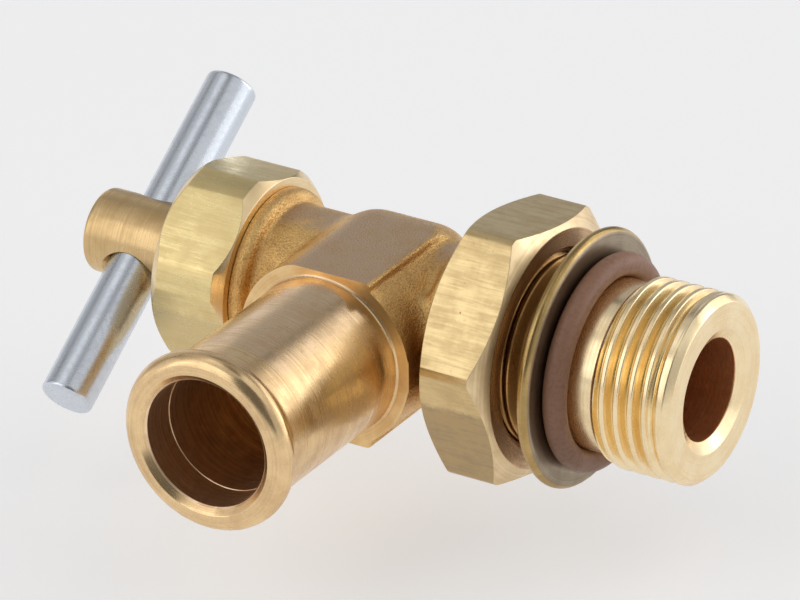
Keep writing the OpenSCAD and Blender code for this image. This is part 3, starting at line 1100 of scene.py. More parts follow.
@dataclass
class ForgedBody:
    """The body: forged block, necks and collar, turned stud and turned hose tail.

    Attributes:
        shop: The workshop.
        ball: Radius of the ball round the crossing.
        flat: Height of the top and bottom flats over the axis.
        shoulder: Reach of the block's squared side towards the stud.
        step: How far that side's edge stands out from the ball.
        neck: Radius of the necks.
        face: Distance from the valve's axis to the machined face round the tail.
        stud: Radius over the stud's thread.
        thread_depth: Depth of the stud's thread.
        pitch: Pitch of the stud's thread.
        stud_start: Station where the stud begins.
        relief: First and last station of the smooth groove on the stud.
        bore: Radius of the stud's bore.
        tail: Radius of the hose tail.
        tail_end: Distance from the valve's axis to the tail's mouth.
        bead: Radius over the bead.
        bead_round: Radius of the bead's section.
        tail_bore: Radius of the tail's bore.
        bore_step: Station of the small step in that bore, and its height.
        chamber: Radius of the valve chamber.
        seat: Station of the seat.
        port: Radius of the port between the tail's bore and the chamber.
        collar: Radius of the collar that the bonnet nut is drawn up to.
        collar_reach: How far the collar reaches from the nut before it rounds off.
        collar_gap: Clearance between the collar's face and the nut.
        flare: Station where the neck has widened to the stud.
        meshes: Meshes of the net between the collar's face and the stud.
    """

    shop: Workshop
    ball: float = 11.2
    flat: float = 10.4
    shoulder: float = 6.1
    step: float = 0.7
    neck: float = 8.9
    face: float = 14.5
    stud: float = 11.1
    thread_depth: float = 1.05
    pitch: float = 1.814
    stud_start: float = 11.15
    relief: tuple[float, float] = (22.9, 32.2)
    bore: float = 6.0
    tail: float = 9.55
    tail_end: float = 40.2
    bead: float = 10.8
    bead_round: float = 1.75
    tail_bore: float = 7.7
    bore_step: tuple[float, float] = (35.0, 0.08)
    chamber: float = 7.65
    seat: float = 5.4
    port: float = 4.7
    collar: float = 10.4
    collar_reach: float = 1.75
    collar_gap: float = 0.06
    flare: float = 9.9
    meshes: int = 100

    @property
    def collar_face(self) -> float:
        """Station of the collar's machined face, just clear of the bonnet nut."""
        return self.shop.layout.end("bonnet_nut") + self.collar_gap

    def field(self, points: np.ndarray) -> np.ndarray:
        """Signed distance to the forged part, with its bores taken out.

        Args:
            points: Rows of X, Y and Z in millimetres.

        Returns:
            The distance at each point, negative inside.
        """
        x, y, z = points[..., 0], points[..., 1], points[..., 2]
        ahead = np.maximum(y, 0.0)
        about = np.hypot(y, z)
        ball = np.sqrt(x**2 + ahead**2 + z**2) - self.ball
        shoulder = np.sqrt(x**2 + np.maximum(y + 2.0, 0.0) ** 2 + z**2) - self.ball - self.step
        shoulder = soft_max(shoulder, np.abs(x - self.shoulder / 2) - self.shoulder / 2, 0.3)
        block = soft_min(ball, shoulder, 0.35)
        flats = np.where(y > 0.0, np.hypot(ahead, z), np.abs(z)) - self.flat
        block = soft_max(block, flats, 0.35)
        block = soft_max(block, -y - self.face - 4.0, 0.5)
        neck = soft_max(about - self.neck, np.abs(x - 0.5) - 17.0, 0.5)
        body = soft_min(block, neck, 0.7)
        away = np.abs(x - self.collar_face)
        collar = soft_max(about - self.collar, away - self.collar_reach, 1.5)
        body = soft_min(body, collar, 0.6)
        flare = soft_max(about - self.stud, self.flare - x, 1.2)
        flare = soft_max(flare, x - 16.0, 0.5)
        body = soft_min(body, flare, 2.0)
        inside = np.maximum(about - self.chamber, np.maximum(-7.6 - x, x - self.seat))
        inside = np.minimum(inside, np.maximum(about - self.bore, 0.0 - x))
        inside = np.minimum(inside, np.maximum(about - 6.1, x))
        away = np.hypot(x, z)
        depth = -y - (self.chamber + 0.85)
        cone = (away - self.port - np.clip(depth, 0.0, 3.0)) * 0.7071
        side = np.maximum(cone, y)
        inside = np.minimum(inside, side)
        return np.maximum(body, -inside)

    def forging(self) -> Shell:
        """Makes the forged part, cut flat at the collar, the stud and the tail."""
        mesh = (self.stud_start - self.collar_face) / self.meshes
        half = mesh / 2
        cuts = (Cut(0, self.collar_face), Cut(0, self.stud_start), Cut(1, -self.face))
        low = (self.collar_face - half, -self.face - half, -12.5)
        high = (self.stud_start + half, 12.0, 12.5)
        return capped(net(self.field, low, high, mesh, cuts), cuts)

    def stud_shell(self, finish: bpy.types.Material) -> Shell:
        """Makes the turned stud with both its threads."""
        end = self.shop.layout.end("valve_body")
        low = self.stud - 1.1
        inner_end = self.relief[0] - 1.2
        inner = Thread(
            self.stud_start + 0.3, inner_end - self.stud_start - 0.3, self.stud,
            self.thread_depth, self.pitch, lead_in=0.5, low=low, fade=1.2,
        )
        outer = Thread(
            self.relief[1], end - 1.1 - self.relief[1], self.stud, self.thread_depth,
            self.pitch, lead_in=0.9, low=low, fade=2.0,
        )
        groove = rounded(
            [(inner_end, self.stud, 0.0), (inner_end + 0.25, self.stud, 0.15),
             (self.relief[0], low, 0.3), (self.relief[1], low, 0.0)],
            closed=False,
        )
        mouth = rounded(
            [(end - 1.1, self.stud, 0.0), (end - 0.8, self.stud, 0.12),
             (end, self.stud - 0.78, 0.14), (end, 7.42, 0.1), (end - 0.85, self.bore, 0.12),
             (self.stud_start, self.bore, 0.0), (self.stud_start, self.stud - 0.1, 0.0),
             (inner.start - 0.1, self.stud, 0.0), (inner.start, low, 0.0)],
            closed=False,
        )
        around = self.shop.threads.around
        shell = self.shop.threads.cut(inner, finish).joined(self.shop.threads.cut(outer, finish))
        for section in (groove, mouth):
            shell = shell.joined(around_x(section, around, closed=False))
        return shell

    def tail_shell(self) -> Shell:
        """Makes the turned hose tail, with its bead towards -Y."""
        bead_axis = self.bead - self.bead_round
        centre = self.tail_end - self.bead_round
        blend = 0.6 * self.bead_round
        rise = self.tail + blend - bead_axis
        reach = self.bead_round + blend
        hollow = centre - math.sqrt(reach**2 - rise**2)
        meet = math.atan2(rise, hollow - centre)
        section = [(self.face - 0.02, self.tail + 0.32), (self.face + 0.10, self.tail + 0.10)]
        section += [(self.face + 0.28, self.tail)]
        for share in np.linspace(0.0, 1.0, 7):
            angle = -math.pi / 2 + share * (math.pi / 2 - (math.pi - meet))
            section.append(
                (hollow + blend * math.cos(angle), self.tail + blend + blend * math.sin(angle))
            )
        for angle in np.linspace(meet, 0.30, 22):
            section.append(
                (centre + self.bead_round * math.cos(angle),
                 bead_axis + self.bead_round * math.sin(angle))
            )
        section += [tuple(row) for row in rounded(
            [(self.tail_end - 0.03, bead_axis + 0.35, 0.0), (self.tail_end, bead_axis, 0.0),
             (self.tail_end, self.tail_bore + 0.85, 0.1), (self.tail_end - 0.8, self.tail_bore, 0.2)],
            closed=False,
        )]
        station, height = self.bore_step
        deep = self.tail_bore - height
        section += [(station, self.tail_bore), (station - height, deep)]
        for ring, depth, width in ((29.0, 0.05, 0.25), (27.2, 0.05, 0.25)):
            section += [(ring + width, deep), (ring, deep + depth), (ring - width, deep)]
        section += [(self.face - 0.02, deep)]
        turned = around_x(np.array(section), 192)
        return turned.turned(Matrix.Rotation(-math.pi / 2, 4, "Z"))

    def spigot_shell(self, finish: bpy.types.Material) -> Shell:
        """Makes the thread that carries the bonnet nut, with the packing chamber."""
        thread = Thread(-21.0, 5.0, 9.5, 0.6, 1.0, lead_in=0.5, low=8.85, fade=1.0)
        closing = rounded(
            [(-16.0, 9.5, 0.0), (self.collar_face, 9.5, 0.0), (self.collar_face, 6.1, 0.0),
             (-16.8, 6.1, 0.0),
             (-16.8, 7.0, 0.0), (-21.2, 7.0, 0.1), (-21.2, 8.65, 0.1), (-21.0, 8.85, 0.0)],
            closed=False,
        )
        around = self.shop.threads.around
        sleeve = self.shop.threads.cut(thread, finish)
        return sleeve.joined(around_x(closing, around, closed=False))

    def build(self) -> None:
        """Builds the body's four pieces."""
        layout = self.shop.layout
        turned_stud = self.shop.finish(STUD_BRASS)
        stud_looks = [turned_stud, *map(self.shop.finish, (STUD_ROOT_SHADE, STUD_SHADED, STUD_BORE_BOUNCE_LIGHT))]
        forged = make_piece(
            "forged_body", layout.placed(self.forging()),
            [self.shop.finish(FORGED_BRASS), self.shop.finish(FACED_BRASS)], Body.VALVE,
            50.0, self._faced,
        )
        stud = make_piece(
            "threaded_stud", layout.placed(self.stud_shell(turned_stud)), stud_looks,
            Body.VALVE, 75.0, self._on_stud,
        )
        tail = make_piece(
            "hose_tail", layout.placed(self.tail_shell()),
            [self.shop.finish(TAIL_BRASS), self.shop.finish(BORE_BOUNCE_LIGHT)], Body.VALVE,
            40.0, self._inside_tail,
        )
        spigot = make_piece(
            "bonnet_spigot", layout.placed(self.spigot_shell(turned_stud)), [turned_stud],
            Body.VALVE, 60.0,
        )
        for piece in (forged, stud, tail, spigot):
            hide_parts("valve_body")

    def _faced(self, centre: Vector, normal: Vector) -> int:
        """Picks the machined finish on the faces that were cut flat."""
        machined = abs(centre.y + self.face) < 0.03 and normal.y < -0.9
        return 1 if machined else 0

    def _on_stud(self, centre: Vector, normal: Vector) -> int:
        """Picks the stud's finishes: turned, thread roots in painted shade, painted shade behind the
        washer, or the bore in painted bounce light.
        """
        layout = self.shop.layout
        station, away = centre.x - layout.hose_axis, math.hypot(centre.y, centre.z)
        if away < self.bore + 0.05:
            return 3
        if station < layout.start("backup_washer"):
            return 2
        root = self.relief[1] + 0.5 < station < layout.end("valve_body") - 1.1
        return 1 if root and away < self.stud - 0.5 else 0

    def _inside_tail(self, centre: Vector, normal: Vector) -> int:
        """Picks the bore's finish inside the tail, a brighter orange of painted bounce light."""
        away = math.hypot(centre.x - self.shop.layout.hose_axis, centre.z)
        return 1 if away < self.tail_bore + 0.12 else 0


@dataclass(frozen=True)
class HexNut:
    """The shape of a hexagon nut whose corners are turned down.

    Attributes:
        back: Station of its first face.
        front: Station of its last face.
        across: Width across its flats.
        corner: Radius to which its corners are turned.
        face: Radius of the flat rings at its ends.
        slope: Axial length of the end chamfers for each unit of radius.
        angle: Direction of one corner about the axis, in degrees.
        inside: Corners of the rest of a section, from the last face's rim back to the first's.
    """

    back: float
    front: float
    across: float
    corner: float
    face: float
    slope: float
    angle: float
    inside: tuple[Corner, ...]

    def angles(self) -> np.ndarray:
        """Directions of the sections, closer together at the corners."""
        edge = math.degrees(math.acos(min(1.0, self.across / 2 / self.corner)))
        flat = np.concatenate(
            [np.linspace(-edge + 0.8, edge - 0.8, 15), [edge - 0.3, edge, edge + 0.3]]
        )
        band = np.linspace(edge + 0.8, 60.0 - edge - 0.8, 5) if edge < 28.5 else [30.0]
        sector = np.concatenate([flat, band, [60.0 - edge - 0.3, 60.0 - edge, 60.3 - edge]])
        sector = np.unique(np.round(sector, 4))
        turns = [sector + 30.0 + self.angle + 60.0 * side for side in range(6)]
        return np.radians(np.concatenate(turns))

    def rim(self, angle: float) -> float:
        """Radius of the side in one direction."""
        off = (math.degrees(angle) - self.angle) % 60.0 - 30.0
        flat = self.across / 2 / math.cos(math.radians(off))
        return float(soft_min(np.array(flat), np.array(self.corner), 0.06))

    def shell(self) -> Shell:
        """Makes the nut's shell."""
        rings = []
        for angle in self.angles():
            side = self.rim(float(angle))
            drop = (side - self.face) * self.slope
            corners = [
                (self.back, self.face, 0.08), (self.back + drop, side, 0.07),
                (self.front - drop, side, 0.07), (self.front, self.face, 0.08), *self.inside,
            ]
            section = rounded(corners)
            rings.append(
                np.stack(
                    [section[:, 0], section[:, 1] * math.cos(angle),
                     section[:, 1] * math.sin(angle)], -1
                )
            )
        return skin(np.stack(rings, 1), closed=True)


@dataclass
class Bonnet:
    """The bonnet nut, and the gland that it presses down inside."""

    shop: Workshop

    def build(self, frame: Mapping[str, object]) -> None:
        """Builds the nut and dresses the gland's pieces.
        """
        layout = self.shop.layout
        back, front = layout.start("bonnet_nut"), layout.end("bonnet_nut")
        inside = (
            (front, 9.95, 0.1), (front - 0.4, 9.55, 0.0), (back + 2.5, 9.55, 0.0),
            (back + 2.5, 5.05, 0.0), (back + 0.3, 5.05, 0.0), (back, 5.35, 0.1),
        )
        nut = HexNut(
            back=back, front=front, across=23.0, corner=12.4, face=11.42, slope=1.2, angle=105.5,
            inside=inside,
        )
        finishes = [self.shop.finish(BONNET_FLATS), self.shop.finish(BONNET_TURNED)]

        def flat_or_turned(centre: Vector, normal: Vector) -> int:
            """Picks the drawn finish on the sides and the turned one elsewhere."""
            away = math.hypot(centre.y, centre.z)
            return 0 if abs(normal.x) < 0.3 and away > 10.0 else 1

        piece = make_piece(
            "bonnet_hexagon", layout.placed(nut.shell()), finishes, Body.VALVE,
            26.0, flat_or_turned,
        )
        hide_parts("bonnet_nut")
        for node in ("gland_follower", "gland_washer"):
            self.shop.dress(frame, node, INNER_BRASS)
        for node in ("packing_ring_1", "packing_ring_2"):
            self.shop.dress(frame, node, PACKING)


@dataclass
class SpindleGroup:
    """The screwed spindle with its tommy bar.

    Attributes:
        shop: The workshop.
        rod: Radius of the rod.
        thread: Radius over the thread's crests.
        thread_length: Length of the thread.
        pitch: Pitch of the thread.
        pocket: Radius of the pocket that holds the disc's stem.
        lip: Radius of the pocket's mouth.
        bar_half: Half the length of the tommy bar.
        bar_angle: Angle of the bar from the horizontal, in degrees.
    """

    shop: Workshop
    rod: float = 5.0
    thread: float = 6.0
    thread_length: float = 9.0
    pitch: float = 1.5
    pocket: float = 3.75
    lip: float = 2.55
    bar_half: float = 22.25
    bar_angle: float = 34.4

    def bar_place(self, station: float) -> Matrix:
        """Turns a shape made along X into the bar's direction, at its station."""
        across = Matrix.Rotation(math.pi / 2, 4, "Z")
        tilt = Matrix.Rotation(math.radians(self.bar_angle), 4, "X")
        return Matrix.Translation((station, 0.0, 0.0)) @ tilt @ across

    def build(self) -> None:
        """Builds the spindle and its bar."""
        layout = self.shop.layout
        low, high = layout.spans["tommy_bar"]
        station, bar = (low.x + high.x) / 2, (high.x - low.x) / 2
        start, end = layout.start("spindle"), layout.end("spindle")
        metal = self.shop.finish(SPINDLE_BRASS)
        thread_end = end - 2.9
        thread = Thread(
            thread_end - self.thread_length, self.thread_length - 0.8, self.thread, depth=0.75,
            pitch=self.pitch, lead_in=0.9, low=self.rod, fade=0.8,
        )
        outside = rounded(
            [(start, 0.0, 0.0), (start, self.rod, 0.55), (thread.start, self.rod, 0.0)],
            closed=False, steps=6,
        )
        inside = rounded(
            [(thread_end - 0.8, self.thread, 0.0), (thread_end, 5.2, 0.1), (end, 5.2, 0.1),
             (end, self.lip, 0.1), (end - 0.9, self.lip, 0.0), (end - 0.9, self.pocket, 0.0),
             (thread_end, self.pocket, 0.0), (thread_end, 0.0, 0.0)],
            closed=False,
        )
        around = self.shop.threads.around
        shell = around_x(outside, around, closed=False)
        shell = shell.joined(self.shop.threads.cut(thread, metal))
        shell = shell.joined(around_x(inside, around, closed=False))
        spindle = make_piece(
            "screwed_spindle", layout.placed(shell), [metal], Body.SPINDLE, 35.0
        )
        self._cross_hole(spindle, station, bar)
        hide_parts("spindle")
        half = self.bar_half
        section = rounded(
            [(-half, 0.0, 0.0), (-half, bar, 0.5), (half, bar, 0.5), (half, 0.0, 0.0)],
            closed=False, steps=6,
        )
        shape = around_x(section, 96, closed=False).turned(self.bar_place(station))
        piece = make_piece(
            "steel_tommy_bar", layout.placed(shape), [self.shop.finish(BAR_ZINC)], Body.SPINDLE,
            35.0,
        )
        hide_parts("tommy_bar")

    def _cross_hole(self, spindle: bpy.types.Object, station: float, bar: float) -> None:
        """Drills the hole for the bar and eases its two mouths.

        Args:
            spindle: The spindle's object.
            station: Station of the hole's axis.
            bar: Radius of the bar.
        """
        hole = bar + 0.05
        section = [
            (-9.0, 0.0), (-9.0, hole + 0.9), (-5.3, hole + 0.9), (-3.7, hole), (3.7, hole),
            (5.3, hole + 0.9), (9.0, hole + 0.9), (9.0, 0.0),
        ]
        drill = around_x(np.array(section), 96, closed=False).turned(self.bar_place(station))
        cutter = make_piece(
            "drill", self.shop.layout.placed(drill), list(spindle.data.materials), Body.SPINDLE,
        )
        modifier = spindle.modifiers.new("hole", "BOOLEAN")
        modifier.operation = "DIFFERENCE"
        modifier.solver = "EXACT"
        modifier.object = cutter
        bpy.context.view_layer.update()
        evaluated = spindle.evaluated_get(bpy.context.evaluated_depsgraph_get())
        mesh = bpy.data.meshes.new_from_object(evaluated)
        spindle.modifiers.clear()
        spindle.data = mesh
        mesh.shade_smooth()
        mesh.set_sharp_from_angle(angle=math.radians(35.0))
        bpy.data.objects.remove(cutter)


@dataclass
class StudSeal:
    """The lock nut, the backup washer and the O-ring on the stud."""

    shop: Workshop

    def build(self) -> None:
        """Builds the three pieces."""
        self.build_lock_nut()
        self.build_washer()
        self.build_ring()

    def build_lock_nut(self) -> None:
        """Builds the lock nut, with its thread relieved at both faces."""
        layout = self.shop.layout
        back, front = layout.start("lock_nut"), layout.end("lock_nut")
        inside = (
            (front, 11.95, 0.1), (front - 0.7, 11.2, 0.1), (back + 0.7, 11.2, 0.1),
            (back, 11.95, 0.1),
        )
        nut = HexNut(
            back=back, front=front, across=29.4, corner=16.7, face=14.05,
            slope=math.tan(math.radians(30.0)), angle=51.7, inside=inside,
        )
        finishes = [
            self.shop.finish(LOCK_FLATS),
            self.shop.finish(LOCK_CHAMFER),
            self.shop.finish(LOCK_FACE_SHADE),
        ]

        def by_side(centre: Vector, normal: Vector) -> int:
            """Picks the flats, the chamfers or the faces, which are darker for painted shade."""
            away = math.hypot(centre.y, centre.z)
            if abs(normal.x) < 0.3 and away > 13.0:
                return 0
            return 1 if away > 13.98 and abs(normal.x) < 0.97 else 2

        piece = make_piece(
            "lock_hexagon", layout.placed(nut.shell()), finishes, Body.LOCK_NUT,
            26.0, by_side,
        )
        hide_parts("lock_nut")

    def build_washer(self) -> None:
        """Builds the washer, with its rolled rim."""
        layout = self.shop.layout
        back, front = layout.start("backup_washer"), layout.end("backup_washer")
        outer = layout.radius("backup_washer")
        section = rounded(
            [(back, outer - 0.35, 0.3), (back + 0.5, outer, 0.4), (front - 0.5, outer, 0.45),
             (front, outer - 0.55, 0.35), (front, 10.25, 0.15), (front - 0.2, 10.05, 0.0),
             (back + 0.2, 10.05, 0.0), (back, 10.25, 0.15)],
        )

        def on_rim(centre: Vector, normal: Vector) -> int:
            """Picks the rim's golden colour, a painted reflection of the brass beside it."""
            return 1 if math.hypot(centre.y, centre.z) > outer - 0.42 else 0

        piece = make_piece(
            "seal_washer", layout.placed(around_x(section, 200)),
            [self.shop.finish(WASHER_DARK), self.shop.finish(WASHER_RIM_REFLECTION)],
            Body.WASHER, 50.0, on_rim,
        )
        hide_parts("backup_washer")

    def build_ring(self) -> None:
        """Builds the O-ring, with the fine flash line of its mould."""
        layout = self.shop.layout
        back, front = layout.start("stud_o_ring"), layout.end("stud_o_ring")
        middle, thick = (back + front) / 2, (front - back) / 2
        ring = layout.radius("stud_o_ring") - thick
        angle = np.arange(36) / 36 * math.tau
        swell = thick - 0.012 + 0.012 * np.exp(-((np.sin(angle) / 0.12) ** 2))
        section = np.stack([middle + swell * np.sin(angle), ring + swell * np.cos(angle)], -1)
        piece = make_piece(
            "rubber_ring", layout.placed(around_x(section, 160)), [self.shop.finish(RING_RUBBER)],
            Body.VALVE, 60.0,
        )
        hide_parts("stud_o_ring")


@dataclass
class Closure:
    """The disc that closes the seat, with its holder and screw."""

    shop: Workshop

    def build(self, frame: Mapping[str, object]) -> None:
        """Dresses the three CAD nodes.
        """
        self.shop.dress(frame, "disc_holder", INNER_BRASS)
        self.shop.dress(frame, "disc_screw", INNER_BRASS)
        self.shop.dress(frame, "seat_disc", DISC_RUBBER)


# Finishes

HOSE_SIDE = (0.0, -1.0, 0.0)
HOSE_CENTRE = (-26.8, 0.0, 0.0)

# The skin colour on the block's upward-facing top flat is a painted reflection of the sky above.
FORGED_BRASS = Finish(
    "forged_brass", (0.90, 0.58, 0.22), (0.50, 0.29, 0.11), Relief.FORGED, (0.34, 0.50),
    marks=5.0, bump=0.09, stains=0.2, skin=(0.62, 0.44, 0.30),
    tone_and_shade_box=((-42.0, -16.0, 8.0), (-14.0, 12.0, 13.0)), tone_and_shade_share=0.9, tone_and_shade_lean=0.90,
)
FACED_BRASS = Finish(
    "faced_brass", (0.90, 0.64, 0.32), (0.74, 0.48, 0.22), Relief.TURNED, (0.30, 0.44),
    marks=9.0, bump=0.006, axis=HOSE_SIDE, centre=HOSE_CENTRE,
)
# The skin colour makes the top of the tail duller and pinker.
TAIL_BRASS = Finish(
    "tail_brass", (0.90, 0.65, 0.35), (0.70, 0.47, 0.25), Relief.TURNED, (0.20, 0.32),
    marks=5.0, bump=0.006, stains=0.6, stain=(0.32, 0.21, 0.15), axis=HOSE_SIDE,
    centre=HOSE_CENTRE, scratch=0.5, skin=(0.70, 0.50, 0.34),
    tone_and_shade_box=((-38.0, -34.0, 6.5), (-20.0, -13.0, 13.0)), tone_and_shade_share=0.55,
)
# Painted bounce light: the tail's bore is brighter and more orange than its outside, for light reflected
# round inside it.
BORE_BOUNCE_LIGHT = Finish(
    "bore_bounce_light", (1.0, 0.76, 0.50), (0.64, 0.38, 0.20), Relief.TURNED, (0.36, 0.50),
    marks=3.0, bump=0.012, stains=0.4, axis=HOSE_SIDE, centre=HOSE_CENTRE,
)
STUD_BRASS = Finish(
    "stud_brass", (1.0, 0.82, 0.52), (0.90, 0.69, 0.40), Relief.TURNED, (0.20, 0.32),
    marks=8.0, bump=0.002, stains=0.2,
)
# Painted shade: the roots of the stud's outer thread are a deeper, more orange colour than its crests.
STUD_ROOT_SHADE = Finish(
    "stud_root_shade", (0.95, 0.72, 0.36), (0.85, 0.60, 0.26), Relief.TURNED, (0.22, 0.34),
    marks=8.0, bump=0.002, stains=0.2,
)
STUD_SHADED = Finish(
    "stud_shaded", (0.55, 0.32, 0.12), (0.34, 0.18, 0.06), Relief.TURNED, (0.26, 0.40),
    marks=6.0, bump=0.004, stains=0.3,
)
# Painted bounce light: the stud's bore is a saturated orange that stands for light reflected round
# inside it.
STUD_BORE_BOUNCE_LIGHT = Finish(
    "stud_bore_bounce_light", (1.0, 0.62, 0.34), (0.62, 0.29, 0.12), Relief.TURNED, (0.34, 0.48),
    marks=3.0, bump=0.012, stains=0.3,
)
# The skin colour on the lower flats is painted shade.
BONNET_FLATS = Finish(
    "bonnet_flats", (0.86, 0.69, 0.34), (0.72, 0.55, 0.26), Relief.DRAWN, (0.26, 0.36),
    marks=5.0, bump=0.002, stains=0.5, stain=(0.52, 0.32, 0.13), scratch=0.15,
    skin=(0.58, 0.45, 0.25),
    tone_and_shade_share=0.6,
    tone_and_shade_box=((-70.0, -20.0, -20.0), (-30.0, 20.0, -1.0)),
)
BONNET_TURNED = Finish(
    "bonnet_turned", (0.92, 0.72, 0.43), (0.80, 0.60, 0.34), Relief.TURNED, (0.22, 0.34),
    marks=9.0, bump=0.004, stains=0.1,
)
SPINDLE_BRASS = Finish(
    "spindle_brass", (0.72, 0.51, 0.26), (0.58, 0.39, 0.18), Relief.TURNED, (0.26, 0.40),
    marks=6.0, bump=0.004, stains=0.15,
)
INNER_BRASS = Finish(
    "inner_brass", (0.66, 0.46, 0.22), (0.52, 0.34, 0.15), Relief.TURNED, (0.28, 0.42),
    marks=4.0, bump=0.01,
)
# The dark skin colour on the lower flats is painted shade.
LOCK_FLATS = Finish(
    "lock_flats", (0.78, 0.60, 0.31), (0.62, 0.45, 0.22), Relief.DRAWN, (0.28, 0.38),
    marks=5.0, bump=0.003, stains=0.6, stain=(0.46, 0.27, 0.11), scratch=0.15,
    skin=(0.36, 0.26, 0.15),
    tone_and_shade_share=0.85,
    tone_and_shade_box=((-20.0, -20.0, -20.0), (2.0, 20.0, -2.0)),
)
LOCK_CHAMFER = Finish(
    "lock_chamfer", (0.86, 0.67, 0.41), (0.70, 0.52, 0.29), Relief.TURNED, (0.28, 0.42),
    marks=9.0, bump=0.008, stains=0.3,
)
# Painted shade: the nut's turned faces are darker than its chamfers, for the shade and dark reflection
# on them.
LOCK_FACE_SHADE = Finish(
    "lock_face_shade", (0.66, 0.43, 0.24), (0.46, 0.28, 0.15), Relief.TURNED, (0.24, 0.40),
    marks=8.0, bump=0.006, stains=0.2,
)
WASHER_DARK = Finish(
    "washer_dark", (0.38, 0.30, 0.21), (0.28, 0.22, 0.15), Relief.TURNED, (0.30, 0.46),
    marks=6.0, bump=0.003, stains=0.1,
)
# Painted reflection: the rim's golden colour stands for the brass nut reflected in it.
WASHER_RIM_REFLECTION = Finish(
    "washer_rim_reflection", (0.54, 0.37, 0.15), (0.37, 0.24, 0.09), Relief.TURNED, (0.22, 0.34),
    marks=6.0, bump=0.002, stains=0.1,
)
BAR_ZINC = Finish(
    "bar_zinc", (0.70, 0.74, 0.80), (0.64, 0.68, 0.75), Relief.PLATED, (0.26, 0.33),
    marks=1.5, bump=0.0002, stains=0.0,
)
RING_RUBBER = Finish(
    "ring_rubber", (0.34, 0.175, 0.105), (0.27, 0.135, 0.08), Relief.MOULDED, (0.40, 0.54),
    marks=2.0, bump=0.004, metallic=0.0, stains=0.05, stain=(0.5, 0.42, 0.38),
)
PACKING = Finish(
    "packing", (0.07, 0.07, 0.07), (0.04, 0.04, 0.04), Relief.MOULDED, (0.6, 0.8),
    bump=0.03, metallic=0.0, stains=0.0,
)
DISC_RUBBER = Finish(
    "disc_rubber", (0.035, 0.035, 0.038), (0.025, 0.025, 0.028), Relief.MOULDED, (0.5, 0.7),
    bump=0.01, metallic=0.0, stains=0.0,
)


# Studio

WHITE = rgba((1.0, 1.0, 1.0))


@dataclass(frozen=True)
class Softbox:
    """A square area lamp that faces a point.

    Attributes:
        azimuth: Direction of the lamp from that point, in degrees from +X towards +Y.
        elevation: Its height over the horizon, in degrees.
        power: Its power in watts.
        colour: The colour of its light.
        size: Its width, in metres.
        distance: Its distance, in metres.
    """

    azimuth: float
    elevation: float
    power: float
    colour: Colour = (1.0, 1.0, 1.0)
    size: float = 0.8
    distance: float = 1.0

    def build(self, target: Vector) -> None:
        """Makes the lamp and turns it to the target."""
        name = f"softbox_{self.azimuth:.0f}_{self.elevation:.0f}"
        data = bpy.data.lights.new(name, "AREA")
        data.shape = "SQUARE"
        data.size = self.size
        data.energy = self.power
        data.color = self.colour
        lamp = bpy.data.objects.new(name, data)
        turn, lift = math.radians(self.azimuth), math.radians(self.elevation)
        level = math.cos(lift)
        away = Vector((math.cos(turn) * level, math.sin(turn) * level, math.sin(lift)))
        lamp.location = target + away * self.distance
        lamp.rotation_euler = (-away).to_track_quat("-Z", "Y").to_euler()
        lamp.visible_camera = False
        bpy.context.collection.objects.link(lamp)


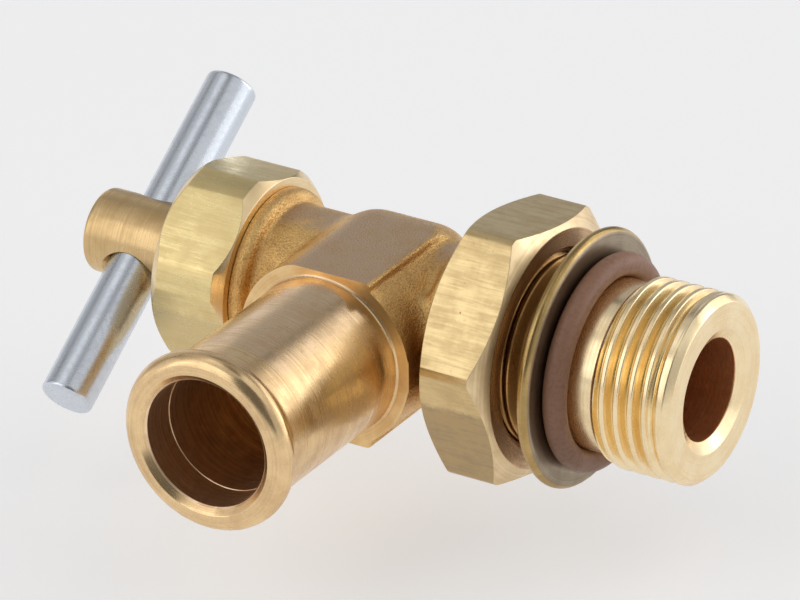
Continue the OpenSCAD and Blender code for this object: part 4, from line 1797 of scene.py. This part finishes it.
@dataclass(frozen=True)
class Studio:
    """The camera, the floor and the lights.

    Attributes:
        camera_place: Where the camera stands, in metres.
        camera_turn: Its turn about X, Y and Z, in degrees.
        lens: Its focal length on a sensor 36 mm wide.
        lamps: The softboxes.
        sky: Strength of the even light from all round.
        horizon: Strength of the brighter band along the horizon.
        band: Height at which that band begins to fade, and at which it ends, of a sphere of 1.
        floor: Colour of the floor.
        floor_glow: Strength added to the floor where the camera or metal sees it.
        drop: How far the floor lies under the valve, in metres, so that the bar clears it.
    """

    camera_place: Corner = (0.40734, -0.70603, 0.41834)
    camera_turn: Corner = (63.252, 0.4496, 31.2897)
    lens: float = 365.6
    lamps: tuple[Softbox, ...] = (
        Softbox(240.0, 26.0, 2.3),
        Softbox(205.0, 12.0, 1.2),
        Softbox(150.0, 12.0, 0.8),
        Softbox(30.0, 12.0, 2.2),
        Softbox(58.0, 20.0, 2.4),
        Softbox(345.0, 12.0, 0.8),
        Softbox(121.0, 28.0, 0.7, (0.85, 0.90, 1.0)),
        Softbox(240.0, 60.0, 0.9),
        Softbox(180.0, 60.0, 0.8),
        Softbox(0.0, 55.0, 1.2),
        Softbox(60.0, 60.0, 0.4),
    )
    sky: float = 0.14
    horizon: float = 0.4
    band: tuple[float, float] = (0.05, 0.09)
    floor: Colour = (0.60, 0.60, 0.61)
    floor_glow: float = 0.46
    drop: float = 0.008

    def build(self) -> None:
        """Builds the studio round the valve."""
        self._camera()
        low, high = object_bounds()
        target = (Vector(low) + Vector(high)) / 2
        for lamp in self.lamps:
            lamp.build(target)
        self._world()
        self._floor(low[2] - self.drop)

    def _camera(self) -> None:
        """Makes the camera at the picture's view."""
        data = bpy.data.cameras.new("camera")
        data.lens = self.lens
        data.sensor_width = 36.0
        data.clip_start, data.clip_end = 0.05, 20.0
        camera = bpy.data.objects.new("camera", data)
        camera.location = self.camera_place
        camera.rotation_euler = [math.radians(value) for value in self.camera_turn]
        bpy.context.collection.objects.link(camera)
        bpy.context.scene.camera = camera

    def _world(self) -> None:
        """Makes an even dim sky with a brighter band along the horizon."""
        world = bpy.data.worlds.new("studio")
        world.use_nodes = True
        world.node_tree.nodes.clear()
        graph = Graph(world.node_tree)
        way = graph.add("ShaderNodeTexCoord").outputs["Generated"]
        height = graph.add("ShaderNodeSeparateXYZ", {0: way}).outputs["Z"]
        strength = graph.ramp(height, *self.band, self.horizon, self.sky)
        light = graph.add("ShaderNodeBackground", {"Color": WHITE, "Strength": strength})
        graph.add("ShaderNodeOutputWorld", {"Surface": light.outputs[0]})
        bpy.context.scene.world = world

    def _floor(self, level: float) -> None:
        """Lays a pale floor under the valve, clear of the bar's whole turn.

        Args:
            level: Height of the floor, in metres.
        """
        mesh = bpy.data.meshes.new("floor")
        reach = 6.0
        signs = ((-1, -1), (1, -1), (1, 1), (-1, 1))
        corners = [(x * reach, y * reach, level) for x, y in signs]
        mesh.from_pydata(corners, [], [(0, 1, 2, 3)])
        floor = bpy.data.objects.new("floor", mesh)
        bpy.context.collection.objects.link(floor)
        material = bpy.data.materials.new("floor")
        material.use_nodes = True
        material.node_tree.nodes.clear()
        graph = Graph(material.node_tree)
        rays = graph.add("ShaderNodeLightPath").outputs
        matt = graph.add("ShaderNodeBsdfDiffuse", {"Color": rgba(self.floor)})
        glow = graph.add("ShaderNodeEmission", {"Color": WHITE, "Strength": self.floor_glow})
        shown = graph.add("ShaderNodeAddShader", {0: matt.outputs[0], 1: glow.outputs[0]})
        straight = graph.math("MAXIMUM", rays["Is Glossy Ray"], rays["Is Transmission Ray"])
        seen = graph.math("MAXIMUM", rays["Is Camera Ray"], straight)
        mix = graph.add("ShaderNodeMixShader", {0: seen, 1: matt.outputs[0], 2: shown.outputs[0]})
        graph.add("ShaderNodeOutputMaterial", {"Surface": mix.outputs[0]})
        mesh.materials.append(material)
        floor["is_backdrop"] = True


def main() -> None:
    """Builds the valve piece by piece, then the studio."""
    logging.basicConfig(level=logging.INFO, format="%(name)s: %(message)s")
    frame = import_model()
    shop = Workshop(Layout.read(frame), Effects(), ThreadCutter())
    ForgedBody(shop).build()
    Bonnet(shop).build(frame)
    SpindleGroup(shop).build()
    Closure(shop).build(frame)
    StudSeal(shop).build()
    Studio().build()
    bpy.context.scene.view_settings.view_transform = "Standard"


if __name__ == "__main__":
    main()
